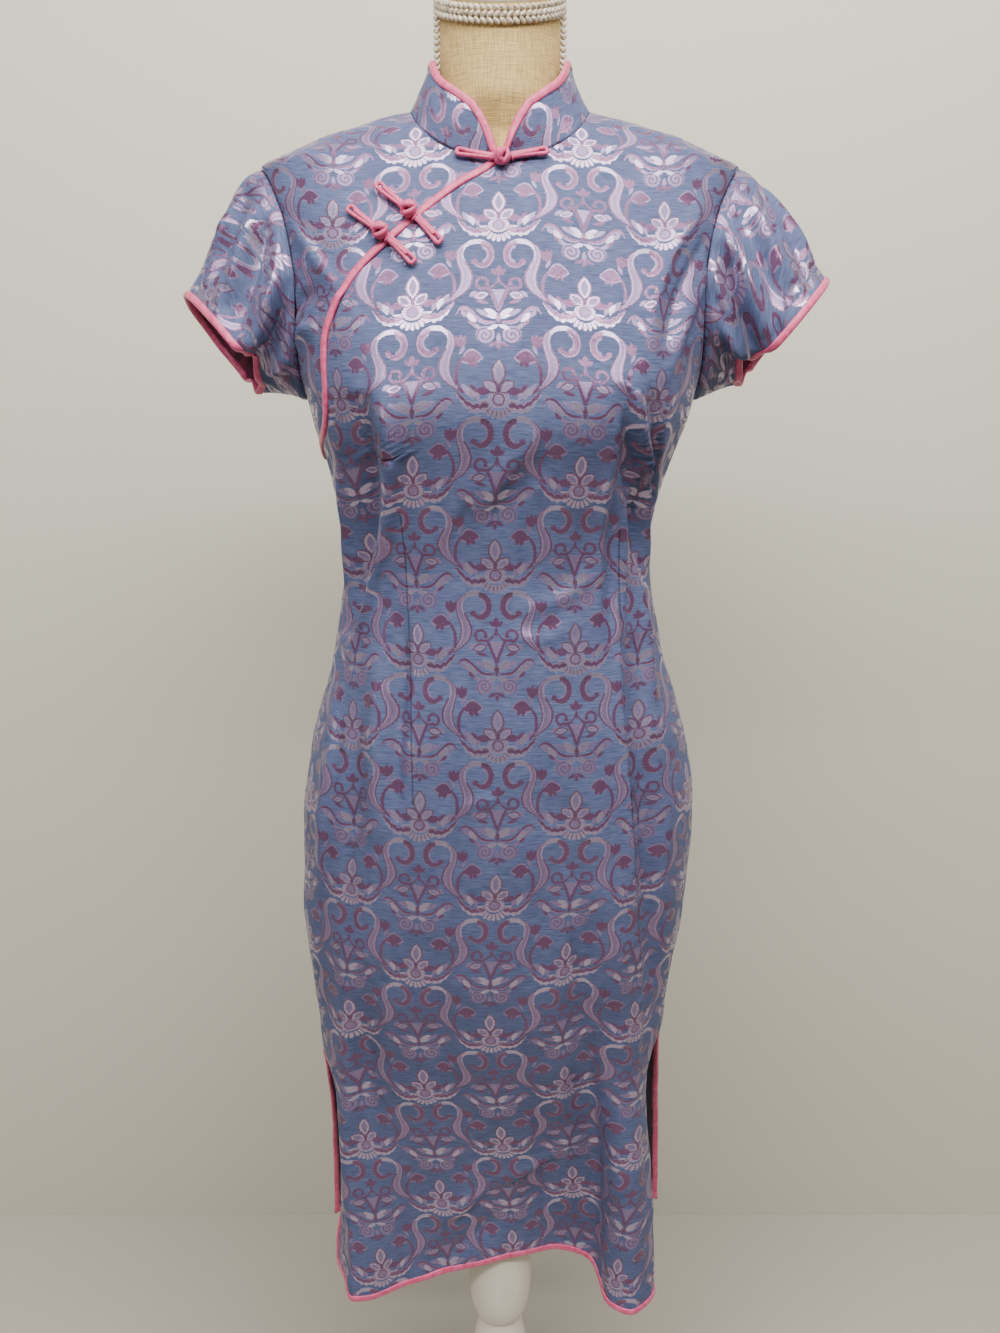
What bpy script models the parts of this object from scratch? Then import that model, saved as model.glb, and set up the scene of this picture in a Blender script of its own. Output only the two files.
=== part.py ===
"""A cheongsam dress worn by a linen dress form on a turned stand.

Metres, +Z up, the front faces -Y, +X is the wearer's left, and the floor is z = 0.
The cloth is cut into panels: each is a wall of CLOTH thickness that follows rings round the figure,
and its edges (neckline, armhole, side seam, slit, crossover opening) are angles on those rings.
"""

import math

import bmesh
import bpy
import numpy as np

# ------------------------------------------------------------------ driving dimensions
CLOTH = 0.0015  # wall of every cloth panel
SEAM = 0.0004  # space between two pieces at a seam
BINDING_WIDTH = 0.0062  # satin edging, seen from outside
BINDING_THICK = 0.0026
BINDING_RISE = 0.0007  # how far the crossover edging stands proud of the cloth

HEM_Z = 0.325
SLIT_TOP = {"right": 0.560, "left": 0.602}  # the wearer's right and left
PINCH = {"right": 0.013, "left": 0.027}  # the front panel draws in below the top of each slit
PINCH_Z, PINCH_SPREAD = 0.560, 0.100
SKIRT_BLEND_Z = 0.680  # the skirt starts to leave its round rings here
SKIRT_ROWS = (0.345, 0.370, 0.410, 0.455, 0.505, 0.540, 0.5595, 0.5605, 0.580, 0.6015, 0.6025)
CROSSOVER_Z = 1.116  # where the crossover opening meets the side seam
UNDERARM_Z = 1.165
FRONT_NECK_Z = 1.341
SHOULDER_TIP_Z = 1.346
NECK_SIDE_Z = 1.386
NECK_SIDE_X = 0.0705
NECKLINE_POWER = 1.8
ARMHOLE_FRONT = math.radians(25.5)  # how far the armhole bites into each panel
ARMHOLE_BACK = math.radians(28)
ARMHOLE_UPPER_POWER, ARMHOLE_LOWER_POWER = 4.0, 1.2

BUST_X, BUST_Z = 0.088, 1.148
BUST_RISE, BUST_SPREAD_X, BUST_SPREAD_Z = 0.007, 0.038, 0.045

COLLAR_STAND = 0.0430  # along the slope of the collar
COLLAR_TOP_HALF, COLLAR_TOP_FRONT, COLLAR_TOP_BACK = 0.0575, 0.0570, 0.0560
COLLAR_TOP_Z = 1.4190

FROG_BAR_LENGTH, FROG_BAR_WIDTH, FROG_BAR_THICK = 0.0290, 0.0064, 0.0040
FROG_KNOT_RADIUS = 0.0056

FORM_BOTTOM_Z = 0.700
NECK_HALF, NECK_FRONT, NECK_BACK = 0.0482, 0.0500, 0.0480
NECK_TOP_Z = 1.476  # the height of the slanted neck top on the form's axis
NECK_SLANT = math.radians(27)
CAP_HEIGHT = 0.016
ROPE_RADIUS, ROPE_BAND_HALF = 0.0030, 0.0066  # two cords, one above the other
BRAID_RADIUS = 0.0021

CREASE_ANGLE = math.radians(40)  # an edge sharper than this shows as an edge

# The outside of the dress on rings round the figure. square flattens a ring's front or back;
# shift moves it sideways, because the dress hangs a little towards the wearer's right.
SECTION_COLUMNS = ("z", "half", "front", "back", "square_front", "square_back", "shift")
SECTIONS = (
    (0.325, 0.1500, 0.0750, 0.0800, 0.12, 0.12, -0.0080),
    (0.560, 0.1610, 0.0920, 0.0930, 0.12, 0.12, -0.0090),
    (0.640, 0.1675, 0.1000, 0.1030, 0.14, 0.14, -0.0085),
    (0.720, 0.1760, 0.1100, 0.1160, 0.17, 0.16, -0.0055),
    (0.800, 0.1765, 0.1150, 0.1250, 0.18, 0.18, -0.0015),
    (0.874, 0.1665, 0.1130, 0.1170, 0.17, 0.17, -0.0005),
    (0.947, 0.1455, 0.1050, 0.0930, 0.14, 0.13, -0.0015),
    (1.018, 0.1335, 0.0985, 0.0745, 0.12, 0.10, -0.0025),
    (1.055, 0.1330, 0.1030, 0.0745, 0.16, 0.12, -0.0030),
    (1.095, 0.1410, 0.1140, 0.0810, 0.24, 0.16, -0.0020),
    (1.148, 0.1570, 0.1260, 0.0920, 0.34, 0.22, 0.0),
    (1.200, 0.1700, 0.1170, 0.0970, 0.36, 0.26, 0.0),
    (1.250, 0.1775, 0.0995, 0.0970, 0.36, 0.28, 0.0),
    (1.300, 0.1870, 0.0780, 0.0900, 0.34, 0.28, 0.0),
    (1.332, 0.1935, 0.0615, 0.0780, 0.30, 0.26, 0.0),
    (1.346, 0.1940, 0.0552, 0.0715, 0.28, 0.24, 0.0),
    (1.352, 0.1820, 0.0535, 0.0690, 0.24, 0.20, 0.0),
    (1.359, 0.1655, 0.0505, 0.0660, 0.20, 0.16, 0.0),
    (1.367, 0.1460, 0.0475, 0.0630, 0.14, 0.12, 0.0),
    (1.374, 0.1220, 0.0440, 0.0595, 0.08, 0.08, 0.0),
    (1.381, 0.0960, 0.0405, 0.0560, 0.04, 0.04, 0.0),
    (1.386, 0.0705, 0.0375, 0.0520, 0.0, 0.0, 0.0),
)
# How much smaller the form is than the dress, all round.
EASE_COLUMNS = ("z", "ease")
EASE = (
    (0.700, 0.0120),
    (0.800, 0.0070),
    (0.900, 0.0080),
    (0.980, 0.0120),
    (1.060, 0.0120),
    (1.148, 0.0060),
    (1.300, 0.0050),
    (1.391, 0.0045),
)
# The lower edge of each panel in plan, from the wearer's right: place, and how far the edge is raised above
# HEM_Z there. The front caves in at its middle and has one deep flute.
HEM_COLUMNS = ("x", "y", "lift")
FRONT_HEM = (
    (-0.1640, -0.0040, 0.0000),
    (-0.1506, -0.0340, 0.0000),
    (-0.1407, -0.0560, 0.0000),
    (-0.1260, -0.0570, 0.0015),
    (-0.0888, -0.0453, 0.0080),
    (-0.0553, -0.0400, 0.0150),
    (-0.0218, -0.0370, 0.0220),
    (0.0176, -0.0330, 0.0290),
    (0.0542, -0.0205, 0.0270),
    (0.0741, -0.0190, 0.0220),
    (0.0886, -0.0240, 0.0160),
    (0.0952, -0.0400, 0.0070),
    (0.1047, -0.0623, 0.0000),
    (0.1224, -0.0726, 0.0000),
    (0.1380, -0.0623, 0.0000),
    (0.1483, -0.0439, 0.0000),
    (0.1500, -0.0100, 0.0000),
)
BACK_HEM = (
    (-0.1750, 0.0620, 0.0000),
    (-0.1500, 0.0830, 0.0000),
    (-0.0800, 0.0920, 0.0030),
    (0.0000, 0.0870, 0.0050),
    (0.0800, 0.0950, 0.0030),
    (0.1400, 0.0980, 0.0000),
    (0.1700, 0.0840, 0.0000),
)
# The crossover opening on the wearer's right front: its angle round the ring at each height, in degrees.
CROSSOVER_COLUMNS = ("z", "angle")
CROSSOVER = (
    (1.1160, -88.0),
    (1.1228, -79.0),
    (1.1418, -61.7),
    (1.1662, -55.7),
    (1.1898, -53.0),
    (1.2059, -51.0),
    (1.2217, -47.4),
    (1.2405, -41.8),
    (1.2563, -36.3),
    (1.2702, -30.3),
    (1.2965, -19.1),
    (1.3198, -9.6),
    (1.3335, -2.8),
    (1.3410, 0.0),
)
# How much of the collar's full height stands at a distance along the neckline from the front.
COLLAR_EDGE_COLUMNS = ("along", "share")
COLLAR_EDGE = (
    (0.000, 0.10),
    (0.003, 0.16),
    (0.007, 0.40),
    (0.015, 0.71),
    (0.025, 0.91),
    (0.045, 1.00),
    (0.080, 1.00),
    (0.115, 0.94),
    (0.300, 0.94),
)
# The four quarter points of each sleeve's open end.
SLEEVE_END = {
    "right": {
        "top": (-0.2694, 0.022, 1.2470),
        "front": (-0.2197, -0.060, 1.2142),
        "under": (-0.2035, 0.000, 1.1700),
        "back": (-0.2500, 0.062, 1.2110),
    },
    "left": {
        "top": (0.2684, -0.014, 1.2535),
        "front": (0.2290, -0.060, 1.2170),
        "under": (0.2020, 0.000, 1.1705),
        "back": (0.2500, 0.062, 1.2270),
    },
}
# How the open end is tucked up between its front and its underarm.
SLEEVE_TUCK = {"right": (-0.0040, 0.0050, 0.0180), "left": (-0.0015, 0.0050, 0.0165)}
SLEEVE_TUCK_ANGLE, SLEEVE_TUCK_SPREAD = math.radians(150), math.radians(27)
# The three frogs: where each knot is, and how far each bar leans from the level, in degrees.
FROG_COLUMNS = ("name", "x", "z", "tilt_right", "tilt_left")
FROGS = (
    ("collar", 0.0015, 1.3371, -14.0, 15.0),
    ("upper", -0.0680, 1.2960, -45.0, -45.0),
    ("lower", -0.0885, 1.2800, -41.0, -41.0),
)
# Radius of the turned stand at each height, from the form down.
SHAFT_PROFILE = ((0.6990, 0.040), (0.6910, 0.042), (0.6880, 0.018), (0.6600, 0.015), (0.4600, 0.015))
BULB_PROFILE = (
    (0.4594, 0.0150),
    (0.4520, 0.0185),
    (0.4300, 0.0230),
    (0.3900, 0.0275),
    (0.3450, 0.0302),
    (0.3100, 0.0310),
    (0.2880, 0.0298),
    (0.2720, 0.0262),
    (0.2625, 0.0205),
)
COLUMN_PROFILE = (
    (0.2618, 0.0195),
    (0.2520, 0.0225),
    (0.2340, 0.0262),
    (0.2000, 0.0325),
    (0.1400, 0.0370),
    (0.0900, 0.0400),
    (0.0500, 0.0480),
    (0.0300, 0.0600),
    (0.0223, 0.0640),
)
BASE_PROFILE = (
    (0.0220, 0.0640),
    (0.0220, 0.1600),
    (0.0190, 0.1700),
    (0.0120, 0.1750),
    (0.0050, 0.1740),
    (0.0000, 0.1680),
)

COLLECTION_NAME = "cheongsam_on_form"


# ------------------------------------------------------------------ curves through tables
def smooth(xs, ys, x):
    """The monotone cubic through the points (xs, ys), at x."""
    xs, ys, x = np.asarray(xs, float), np.asarray(ys, float), np.asarray(x, float)
    step = np.diff(xs)
    rise = np.diff(ys) / step
    slope = np.zeros(len(xs))
    same = rise[:-1] * rise[1:] > 0
    both = np.where(same, rise[:-1] + rise[1:], 1.0)
    slope[1:-1] = np.where(same, 2 * rise[:-1] * rise[1:] / both, 0.0)
    slope[0], slope[-1] = rise[0], rise[-1]
    x = np.clip(x, xs[0], xs[-1])
    i = np.clip(np.searchsorted(xs, x, side="right") - 1, 0, len(step) - 1)
    t = (x - xs[i]) / step[i]
    start, end = (1 + 2 * t) * (1 - t) ** 2, t * t * (3 - 2 * t)
    leave, arrive = t * (1 - t) ** 2, t * t * (t - 1)
    return ys[i] * start + ys[i + 1] * end + step[i] * (slope[i] * leave + slope[i + 1] * arrive)


def lookup(table, columns, name, at):
    """One named column of a table, whose first column is the place, at a place."""
    values = np.array(table, float)
    return smooth(values[:, 0], values[:, columns.index(name)], at)


def section(name, z):
    return lookup(SECTIONS, SECTION_COLUMNS, name, z)


def ease_in_out(t):
    t = np.clip(t, 0, 1)
    return t * t * (3 - 2 * t)


# ------------------------------------------------------------------ the dress's outer surface
def ring_point(z, angle, inset=0.0):
    """The ring at height z: angle 0 is the middle front, 90 degrees the wearer's left side."""
    z, angle = np.broadcast_arrays(np.asarray(z, float), np.asarray(angle, float))
    side, ahead = np.sin(angle), np.cos(angle)
    front = (section("front", z) - inset) * (1 + section("square_front", z) * side**2)
    back = (section("back", z) - inset) * (1 + section("square_back", z) * side**2)
    x = section("shift", z) + (section("half", z) - inset) * side
    y = -ahead * np.where(ahead >= 0, front, back)
    over = ((np.abs(x) - BUST_X) / BUST_SPREAD_X) ** 2 + ((z - BUST_Z) / BUST_SPREAD_Z) ** 2
    y = y - np.where(ahead > 0, BUST_RISE * np.exp(-over), 0.0)
    return np.stack([x, y, z], axis=-1)


def hem_point(hem, share):
    """The x, y and lift of a hem line, at a share of its length."""
    values = np.array(hem)
    run = np.linalg.norm(np.diff(values[:, :2], axis=0), axis=1)
    along = np.concatenate([[0], np.cumsum(run)]) / np.sum(run)
    return [smooth(along, values[:, HEM_COLUMNS.index(name)], share) for name in HEM_COLUMNS]


def skirt_point(panel, z, angle):
    """A point of the front or back panel. Below SKIRT_BLEND_Z its rows turn into the panel's own hem line."""
    hem = FRONT_HEM if panel == "front" else BACK_HEM
    z, angle = np.broadcast_arrays(np.asarray(z, float), np.asarray(angle, float))
    share = angle / math.pi + 0.5 if panel == "front" else 1.5 - angle / math.pi
    on_ring = ring_point(z, angle)
    hem_x, hem_y, lift = hem_point(hem, share)
    slit_top = SLIT_TOP["right"] + (SLIT_TOP["left"] - SLIT_TOP["right"]) * share
    middle = ease_in_out((SKIRT_BLEND_Z - z) / (SKIRT_BLEND_Z - HEM_Z))
    edge = 1 - (1 - np.clip((slit_top - z) / (slit_top - HEM_Z), 0, 1)) ** 1.8
    weight = middle + (edge - middle) * np.abs(2 * share - 1) ** 8
    x = on_ring[..., 0] + (hem_x - on_ring[..., 0]) * weight
    y = on_ring[..., 1] + (hem_y - on_ring[..., 1]) * weight
    if panel == "front":
        pinch = PINCH["right"] + (PINCH["left"] - PINCH["right"]) * share
        below = ease_in_out((slit_top - z) / 0.045) * np.exp(-(np.clip(PINCH_Z - z, 0, 1) / PINCH_SPREAD) ** 2)
        x = x - np.sign(share - 0.5) * pinch * below * np.abs(2 * share - 1) ** 5
    near_hem = np.clip((SLIT_TOP["right"] - z) / (SLIT_TOP["right"] - HEM_Z), 0, 1) ** 4
    return np.stack([x, y, z + lift * near_hem], axis=-1)


def armhole_bite(z, bite):
    """How far the armhole's edge is from the side of the figure, as an angle, at height z."""
    across = np.clip(2 * (z - UNDERARM_Z) / (SHOULDER_TIP_Z - UNDERARM_Z) - 1, -1, 1)
    power = np.where(across > 0, ARMHOLE_UPPER_POWER, ARMHOLE_LOWER_POWER)
    return bite * np.sqrt(1 - np.abs(across) ** power)


def neckline_angle(z):
    """The angle of the front neckline's edge at height z."""
    down = np.clip((NECK_SIDE_Z - z) / (NECK_SIDE_Z - FRONT_NECK_Z), 0, 1)
    x = NECK_SIDE_X * np.sqrt(1 - down**NECKLINE_POWER)
    return np.arcsin(np.clip(x / section("half", z), -1, 1))


def angle_at(x, z):
    return np.arcsin(np.clip((x - section("shift", z)) / section("half", z), -1, 1))


def front_angle_of(point):
    """The angle on its ring of a point on the front."""
    x, y, z = point[..., 0], point[..., 1], point[..., 2]
    side = (x - section("shift", z)) / section("half", z)
    ahead = -y / (section("front", z) * (1 + section("square_front", z) * side**2))
    return np.arctan2(side, ahead)


def crossover_angle(z):
    return np.radians(lookup(CROSSOVER, CROSSOVER_COLUMNS, "angle", z))


def crossover_offset(distance):
    """(heights, angles) of the line beside the crossover opening, that far from it along the cloth."""
    z = np.linspace(CROSSOVER_Z, FRONT_NECK_Z, 160)
    line = ring_point(z, crossover_angle(z))
    along = np.gradient(line, axis=0)
    across = np.cross(along, surface_normal(z, crossover_angle(z)))
    across /= np.linalg.norm(across, axis=1)[:, None]
    moved = line + across * distance
    order = np.argsort(moved[:, 2])
    moved = moved[order]
    return moved[:, 2], np.maximum(front_angle_of(moved), -math.pi / 2 + side_gap(moved[:, 2]))


def surface_normal(z, angle):
    """The outward direction of the dress on a ring."""
    step = 1e-4
    round_it = ring_point(z, angle + step) - ring_point(z, angle - step)
    up = ring_point(z + step, angle) - ring_point(z - step, angle)
    normal = np.cross(round_it, up)
    return normal / np.linalg.norm(normal, axis=-1)[..., None]


def side_gap(z):
    """Half a seam's space, as an angle at the side of the ring."""
    return 0.7 * SEAM / (0.5 * (section("front", z) + section("back", z)))


def edge_angle(panel, z, side, distance):
    """The angle on a panel's row at height z that lies a distance in from the side edge."""
    start = math.pi / 2 if side == "left" else -math.pi / 2
    inwards = -1.0 if (panel == "front") == (side == "left") else 1.0
    if panel == "back" and side == "right":
        start = 1.5 * math.pi
    angles = start + inwards * np.linspace(0, 0.30, 31)
    line = skirt_point(panel, z, angles)
    along = np.concatenate([[0], np.cumsum(np.linalg.norm(np.diff(line, axis=0), axis=1))])
    return float(np.interp(distance, along, angles))


def side_angle(panel, z, side):
    """A panel's side edge: at the side seam, or in from the slit by the width of the edging."""
    if z > SLIT_TOP[side] - 1e-6:
        return edge_angle(panel, z, side, SEAM)
    at = math.pi / 2 if side == "left" else (-math.pi / 2 if panel == "front" else 1.5 * math.pi)
    down = skirt_point(panel, z - 0.002, at) - skirt_point(panel, z, at)
    row = skirt_point(panel, z, at + 0.01) - skirt_point(panel, z, at - 0.01)
    lean = np.dot(down, row) / np.linalg.norm(down) / np.linalg.norm(row)
    return edge_angle(panel, z, side, (BINDING_WIDTH + SEAM * 3.5) / math.sqrt(1 - lean**2))


# ------------------------------------------------------------------ panel grids, row by row
def grid(rows, columns, low, high, point):
    """Points in rows at the given heights, each row from angle low(z) to high(z)."""
    shares = np.linspace(0, 1, columns)
    return np.array([point(z, low(z) + (high(z) - low(z)) * shares) for z in rows])


def with_hem_row(panel, rows):
    """Adds a panel's lowest row, which keeps clear of the edging along the hem."""
    sides = ("right", "left") if panel == "front" else ("left", "right")
    ends = [edge_angle(panel, HEM_Z, side, BINDING_WIDTH + SEAM) for side in sides]
    angles = np.linspace(ends[0], ends[1], rows.shape[1])
    line = skirt_point(panel, HEM_Z, angles)
    up = skirt_point(panel, HEM_Z + 0.01, angles) - line
    up /= np.linalg.norm(up, axis=1)[:, None]
    wide = np.gradient(line, axis=0)
    wide /= np.linalg.norm(wide, axis=1)[:, None]
    slope = np.sqrt(1 - np.sum(up * wide, axis=1) ** 2)[:, None]
    return np.concatenate([[line + up * (BINDING_WIDTH + SEAM * 1.5) / slope], rows])


def front_panel_grid():
    inner_z, inner_angle = crossover_offset(BINDING_WIDTH / 2 + SEAM * 4.5)

    def low(z):
        if z < CROSSOVER_Z + 0.001:
            return side_angle("front", z, "right")
        if z < FRONT_NECK_Z + 0.001:
            return np.interp(z, inner_z, inner_angle)
        return neckline_angle(z)

    def high(z):
        if z < UNDERARM_Z:
            return side_angle("front", z, "left")
        return math.pi / 2 - armhole_bite(z, ARMHOLE_FRONT) - side_gap(z)

    heights = SKIRT_ROWS + (0.660, 0.720, 0.780, 0.840, 0.900, 0.950, 1.000, 1.045, 1.085, 1.1165, 1.124, 1.134, 1.148)
    heights += (1.1645, 1.168, 1.180, 1.200, 1.213, 1.227, 1.243, 1.260, 1.280, 1.300, 1.320)
    heights += (1.334, 1.3415, 1.346)
    heights += (1.354, 1.362, 1.370, 1.377, 1.3852)
    return with_hem_row("front", grid(heights, 19, low, high, lambda z, angle: skirt_point("front", z, angle)))


def underlap_grid():
    """The wearer's right front above the crossover opening."""
    outer_z, outer_angle = crossover_offset(-BINDING_WIDTH / 2 - SEAM * 3)

    def low(z):
        bite = armhole_bite(z, ARMHOLE_FRONT) if z > UNDERARM_Z else 0.0
        return -math.pi / 2 + bite + side_gap(z)

    def high(z):
        if z < FRONT_NECK_Z + 0.001:
            return np.interp(z, outer_z, outer_angle)
        return -neckline_angle(z)

    heights = (1.126, 1.135, 1.148, 1.1645, 1.168, 1.180, 1.200, 1.213, 1.227, 1.243, 1.260, 1.280, 1.300, 1.320)
    heights += (1.334, 1.3415, 1.346, 1.354, 1.362, 1.370, 1.377, 1.3852)
    return grid(heights, 8, low, high, lambda z, angle: ring_point(z, angle))


def back_panel_grid():
    def low(z):
        if z < UNDERARM_Z:
            return side_angle("back", z, "left")
        return math.pi / 2 + armhole_bite(z, ARMHOLE_BACK) + side_gap(z)

    def high(z):
        if z < UNDERARM_Z:
            return side_angle("back", z, "right")
        return 1.5 * math.pi - armhole_bite(z, ARMHOLE_BACK) - side_gap(z)

    heights = SKIRT_ROWS + (0.660, 0.720, 0.780, 0.840, 0.900, 0.950, 1.000, 1.045, 1.085, 1.125, 1.1645, 1.168, 1.180)
    heights += (1.200, 1.240, 1.280, 1.315, 1.334, 1.3415, 1.346, 1.354, 1.362, 1.370, 1.377, 1.3855)
    return with_hem_row("back", grid(heights, 15, low, high, lambda z, angle: skirt_point("back", z, angle)))


def armhole_point(side, turn):
    """The armhole's seam line, from the shoulder tip (turn 0) down the front and up the back."""
    z = UNDERARM_Z + (SHOULDER_TIP_Z - UNDERARM_Z) * (1 + np.cos(turn)) / 2
    ahead = np.sin(turn) >= 0
    bite = np.where(ahead, -armhole_bite(z, ARMHOLE_FRONT), armhole_bite(z, ARMHOLE_BACK))
    angle = math.pi / 2 + bite
    return ring_point(z, angle if side == "left" else -angle)


def sleeve_rows(side, shares, around=24):
    """The sleeve's outside: each line from the armhole to the open end is a cubic Bezier curve."""
    turn = np.arange(around) * 2 * math.pi / around
    ends = {name: np.array(point) for name, point in SLEEVE_END[side].items()}
    middle = sum(ends.values()) / 4
    upright, fore = (ends["top"] - ends["under"]) / 2, (ends["front"] - ends["back"]) / 2
    end = middle + np.outer(np.cos(turn), upright) + np.outer(np.sin(turn), fore)
    tucked = np.exp(-(((turn - SLEEVE_TUCK_ANGLE) / SLEEVE_TUCK_SPREAD) ** 2))
    end += np.outer(tucked, SLEEVE_TUCK[side])
    start = armhole_point(side, turn)
    out = -1.0 if side == "right" else 1.0
    fall = np.where(np.cos(turn) > 0, 0.24, 0.38) * np.cos(turn)
    leave = np.stack([out * 0.9 + 0 * turn, -0.30 * np.sin(turn), -0.25 - fall], axis=1)
    arrive = np.stack([out * 0.72 + 0 * turn, -0.10 * np.sin(turn), -0.25 - 0.50 * np.cos(turn)], axis=1)
    leave /= np.linalg.norm(leave, axis=1)[:, None]
    arrive /= np.linalg.norm(arrive, axis=1)[:, None]
    reach = np.linalg.norm(end - start, axis=1)[:, None] / 3
    hold, meet = start + leave * reach, end - arrive * reach
    rows = []
    for s in shares:
        row = start * (1 - s) ** 3 + 3 * hold * s * (1 - s) ** 2 + 3 * meet * s * s * (1 - s) + end * s**3
        rows.append(row)
    return np.array(rows)


def neckline_loop(count):
    """The neckline's seam line from the front middle round the wearer's left, the back and the right, by length."""
    z = FRONT_NECK_Z + (NECK_SIDE_Z - FRONT_NECK_Z) * np.linspace(0, 1, 60)
    front = ring_point(z, neckline_angle(z))
    back = ring_point(NECK_SIDE_Z, np.linspace(math.pi / 2, math.pi, 60)[1:])
    half = np.concatenate([front, back])
    along = np.concatenate([[0], np.cumsum(np.linalg.norm(np.diff(half, axis=0), axis=1))])
    at = along[-1] * np.linspace(0, 1, count) ** 1.5
    return np.stack([np.interp(at, along, half[:, k]) for k in range(3)], axis=1), at


def collar_rows(shares, count=19):
    """The stand collar's outside, from its front edge on the wearer's right round the back to the left."""
    base, along = neckline_loop(count)
    turn = np.arctan2(base[:, 0] / NECK_SIDE_X, -base[:, 1] / 0.058)
    depth = np.where(np.cos(turn) >= 0, COLLAR_TOP_FRONT, COLLAR_TOP_BACK)
    full = np.stack([COLLAR_TOP_HALF * np.sin(turn), -depth * np.cos(turn), 0 * turn + COLLAR_TOP_Z], axis=1)
    up = full - base
    up *= COLLAR_STAND / np.linalg.norm(up, axis=1)[:, None]
    tall = lookup(COLLAR_EDGE, COLLAR_EDGE_COLUMNS, "share", along)[:, None]
    rows = []
    for s in shares:
        half = base + up * (tall * s)
        rows.append(np.concatenate([half * (-1, 1, 1), half[::-1][1:]]))
    return np.array(rows)


# ------------------------------------------------------------------ solids
def material(name, color, roughness=0.6, metallic=0.0):
    made = bpy.data.materials.new(name)
    made.use_nodes = True
    shader = made.node_tree.nodes["Principled BSDF"]
    shader.inputs["Base Color"].default_value = (*color, 1.0)
    shader.inputs["Roughness"].default_value = roughness
    shader.inputs["Metallic"].default_value = metallic
    return made


def add_object(name, mesh, look):
    made = bpy.data.objects.new(name, mesh)
    bpy.data.collections[COLLECTION_NAME].objects.link(made)
    mesh.materials.append(look)
    mesh.shade_smooth()
    mesh.set_sharp_from_angle(angle=CREASE_ANGLE)
    return made


def lofted(rows, closed_round=False, cap_ends=False):
    """A mesh through rows of points. Points that coincide, as at a tip, are merged."""
    rows = np.asarray(rows, float)
    mesh = bpy.data.meshes.new("loft")
    bm = bmesh.new()
    verts = [[bm.verts.new(p) for p in row] for row in rows]
    count = len(verts[0])
    for lower, upper in zip(verts, verts[1:]):
        for i in range(count if closed_round else count - 1):
            j = (i + 1) % count
            bm.faces.new((lower[i], lower[j], upper[j], upper[i]))
    if cap_ends:
        bm.faces.new(verts[0][::-1])
        bm.faces.new(verts[-1])
    bmesh.ops.remove_doubles(bm, verts=bm.verts, dist=2e-5)
    bmesh.ops.recalc_face_normals(bm, faces=bm.faces)
    if cap_ends and bm.calc_volume(signed=True) < 0:
        bmesh.ops.reverse_faces(bm, faces=bm.faces)
    bm.to_mesh(mesh)
    bm.free()
    return mesh


def faces_outwards(mesh, centre):
    """Turns the mesh's faces so that they look away from a point inside the garment."""
    looks = sum((p.center - centre_at(centre, p.center)).dot(p.normal) * p.area for p in mesh.polygons)
    if looks < 0:
        mesh.flip_normals()
    return mesh


def centre_at(centre, point):
    from_axis = point.copy()
    for k in range(3):
        if centre[k] is not None:
            from_axis[k] = centre[k]
    return from_axis


def cloth(name, rows, look, centre=(0.0, 0.0, None), closed_round=False):
    """A cloth wall: the rows are its outside, and it is CLOTH thick on the inside."""
    mesh = faces_outwards(lofted(rows, closed_round), centre)
    made = add_object(name, mesh, look)
    wall = made.modifiers.new("wall", "SOLIDIFY")
    wall.thickness = CLOTH
    wall.offset = -1
    return made


def edging(name, line, across, normal, look, closed=False, width=BINDING_WIDTH, rise=0.0):
    """A satin edging with a rounded section along a line. across points over the edge, normal out of the cloth."""
    line, across, normal = (np.asarray(a, float) for a in (line, across, normal))
    across = across / np.linalg.norm(across, axis=1)[:, None]
    normal = normal / np.linalg.norm(normal, axis=1)[:, None]
    corners = ((-0.5, -0.5), (0.3, -0.5), (0.5, 0.0), (0.3, 0.5), (-0.5, 0.5))
    sink = CLOTH / 2 - rise
    rows = [line + across * (a * width) + normal * (b * BINDING_THICK - sink) for a, b in corners]
    rows = np.transpose(np.array(rows), (1, 0, 2))
    if closed:
        rows = np.concatenate([rows, rows[:1]])
    return add_object(name, lofted(rows, closed_round=True, cap_ends=not closed), look)


def turned(name, profile, look, steps=32):
    """A solid of revolution round Z, from (height, radius) rows that run from its top to its bottom."""
    points = [(0.0, profile[0][0])] + [(r, z) for z, r in profile] + [(0.0, profile[-1][0])]
    bm = bmesh.new()
    verts = [bm.verts.new((x, 0.0, z)) for x, z in points]
    edges = [bm.edges.new(pair) for pair in zip(verts, verts[1:])]
    full = 2 * math.pi
    bmesh.ops.spin(bm, geom=verts + edges, cent=(0, 0, 0), axis=(0, 0, 1), angle=full, steps=steps, use_merge=True)
    bmesh.ops.remove_doubles(bm, verts=bm.verts, dist=1e-4)
    bmesh.ops.recalc_face_normals(bm, faces=bm.faces)
    mesh = bpy.data.meshes.new(name)
    bm.to_mesh(mesh)
    bm.free()
    return add_object(name, mesh, look)


def tube(name, points, radius, look, cyclic=False, resolution=2):
    curve = bpy.data.curves.new(name, "CURVE")
    curve.dimensions = "3D"
    curve.bevel_depth = radius
    curve.bevel_resolution = resolution
    curve.use_fill_caps = not cyclic
    spline = curve.splines.new("POLY")
    spline.points.add(len(points) - 1)
    for target, point in zip(spline.points, points):
        target.co = (*point, 1.0)
    spline.use_cyclic_u = cyclic
    made = bpy.data.objects.new(name, curve)
    bpy.data.collections[COLLECTION_NAME].objects.link(made)
    curve.materials.append(look)
    return made


# ------------------------------------------------------------------ the dress
def make_panels(look):
    cloth("front_panel", front_panel_grid(), look)
    cloth("underlap_panel", underlap_grid(), look)
    cloth("back_panel", back_panel_grid(), look)


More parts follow.
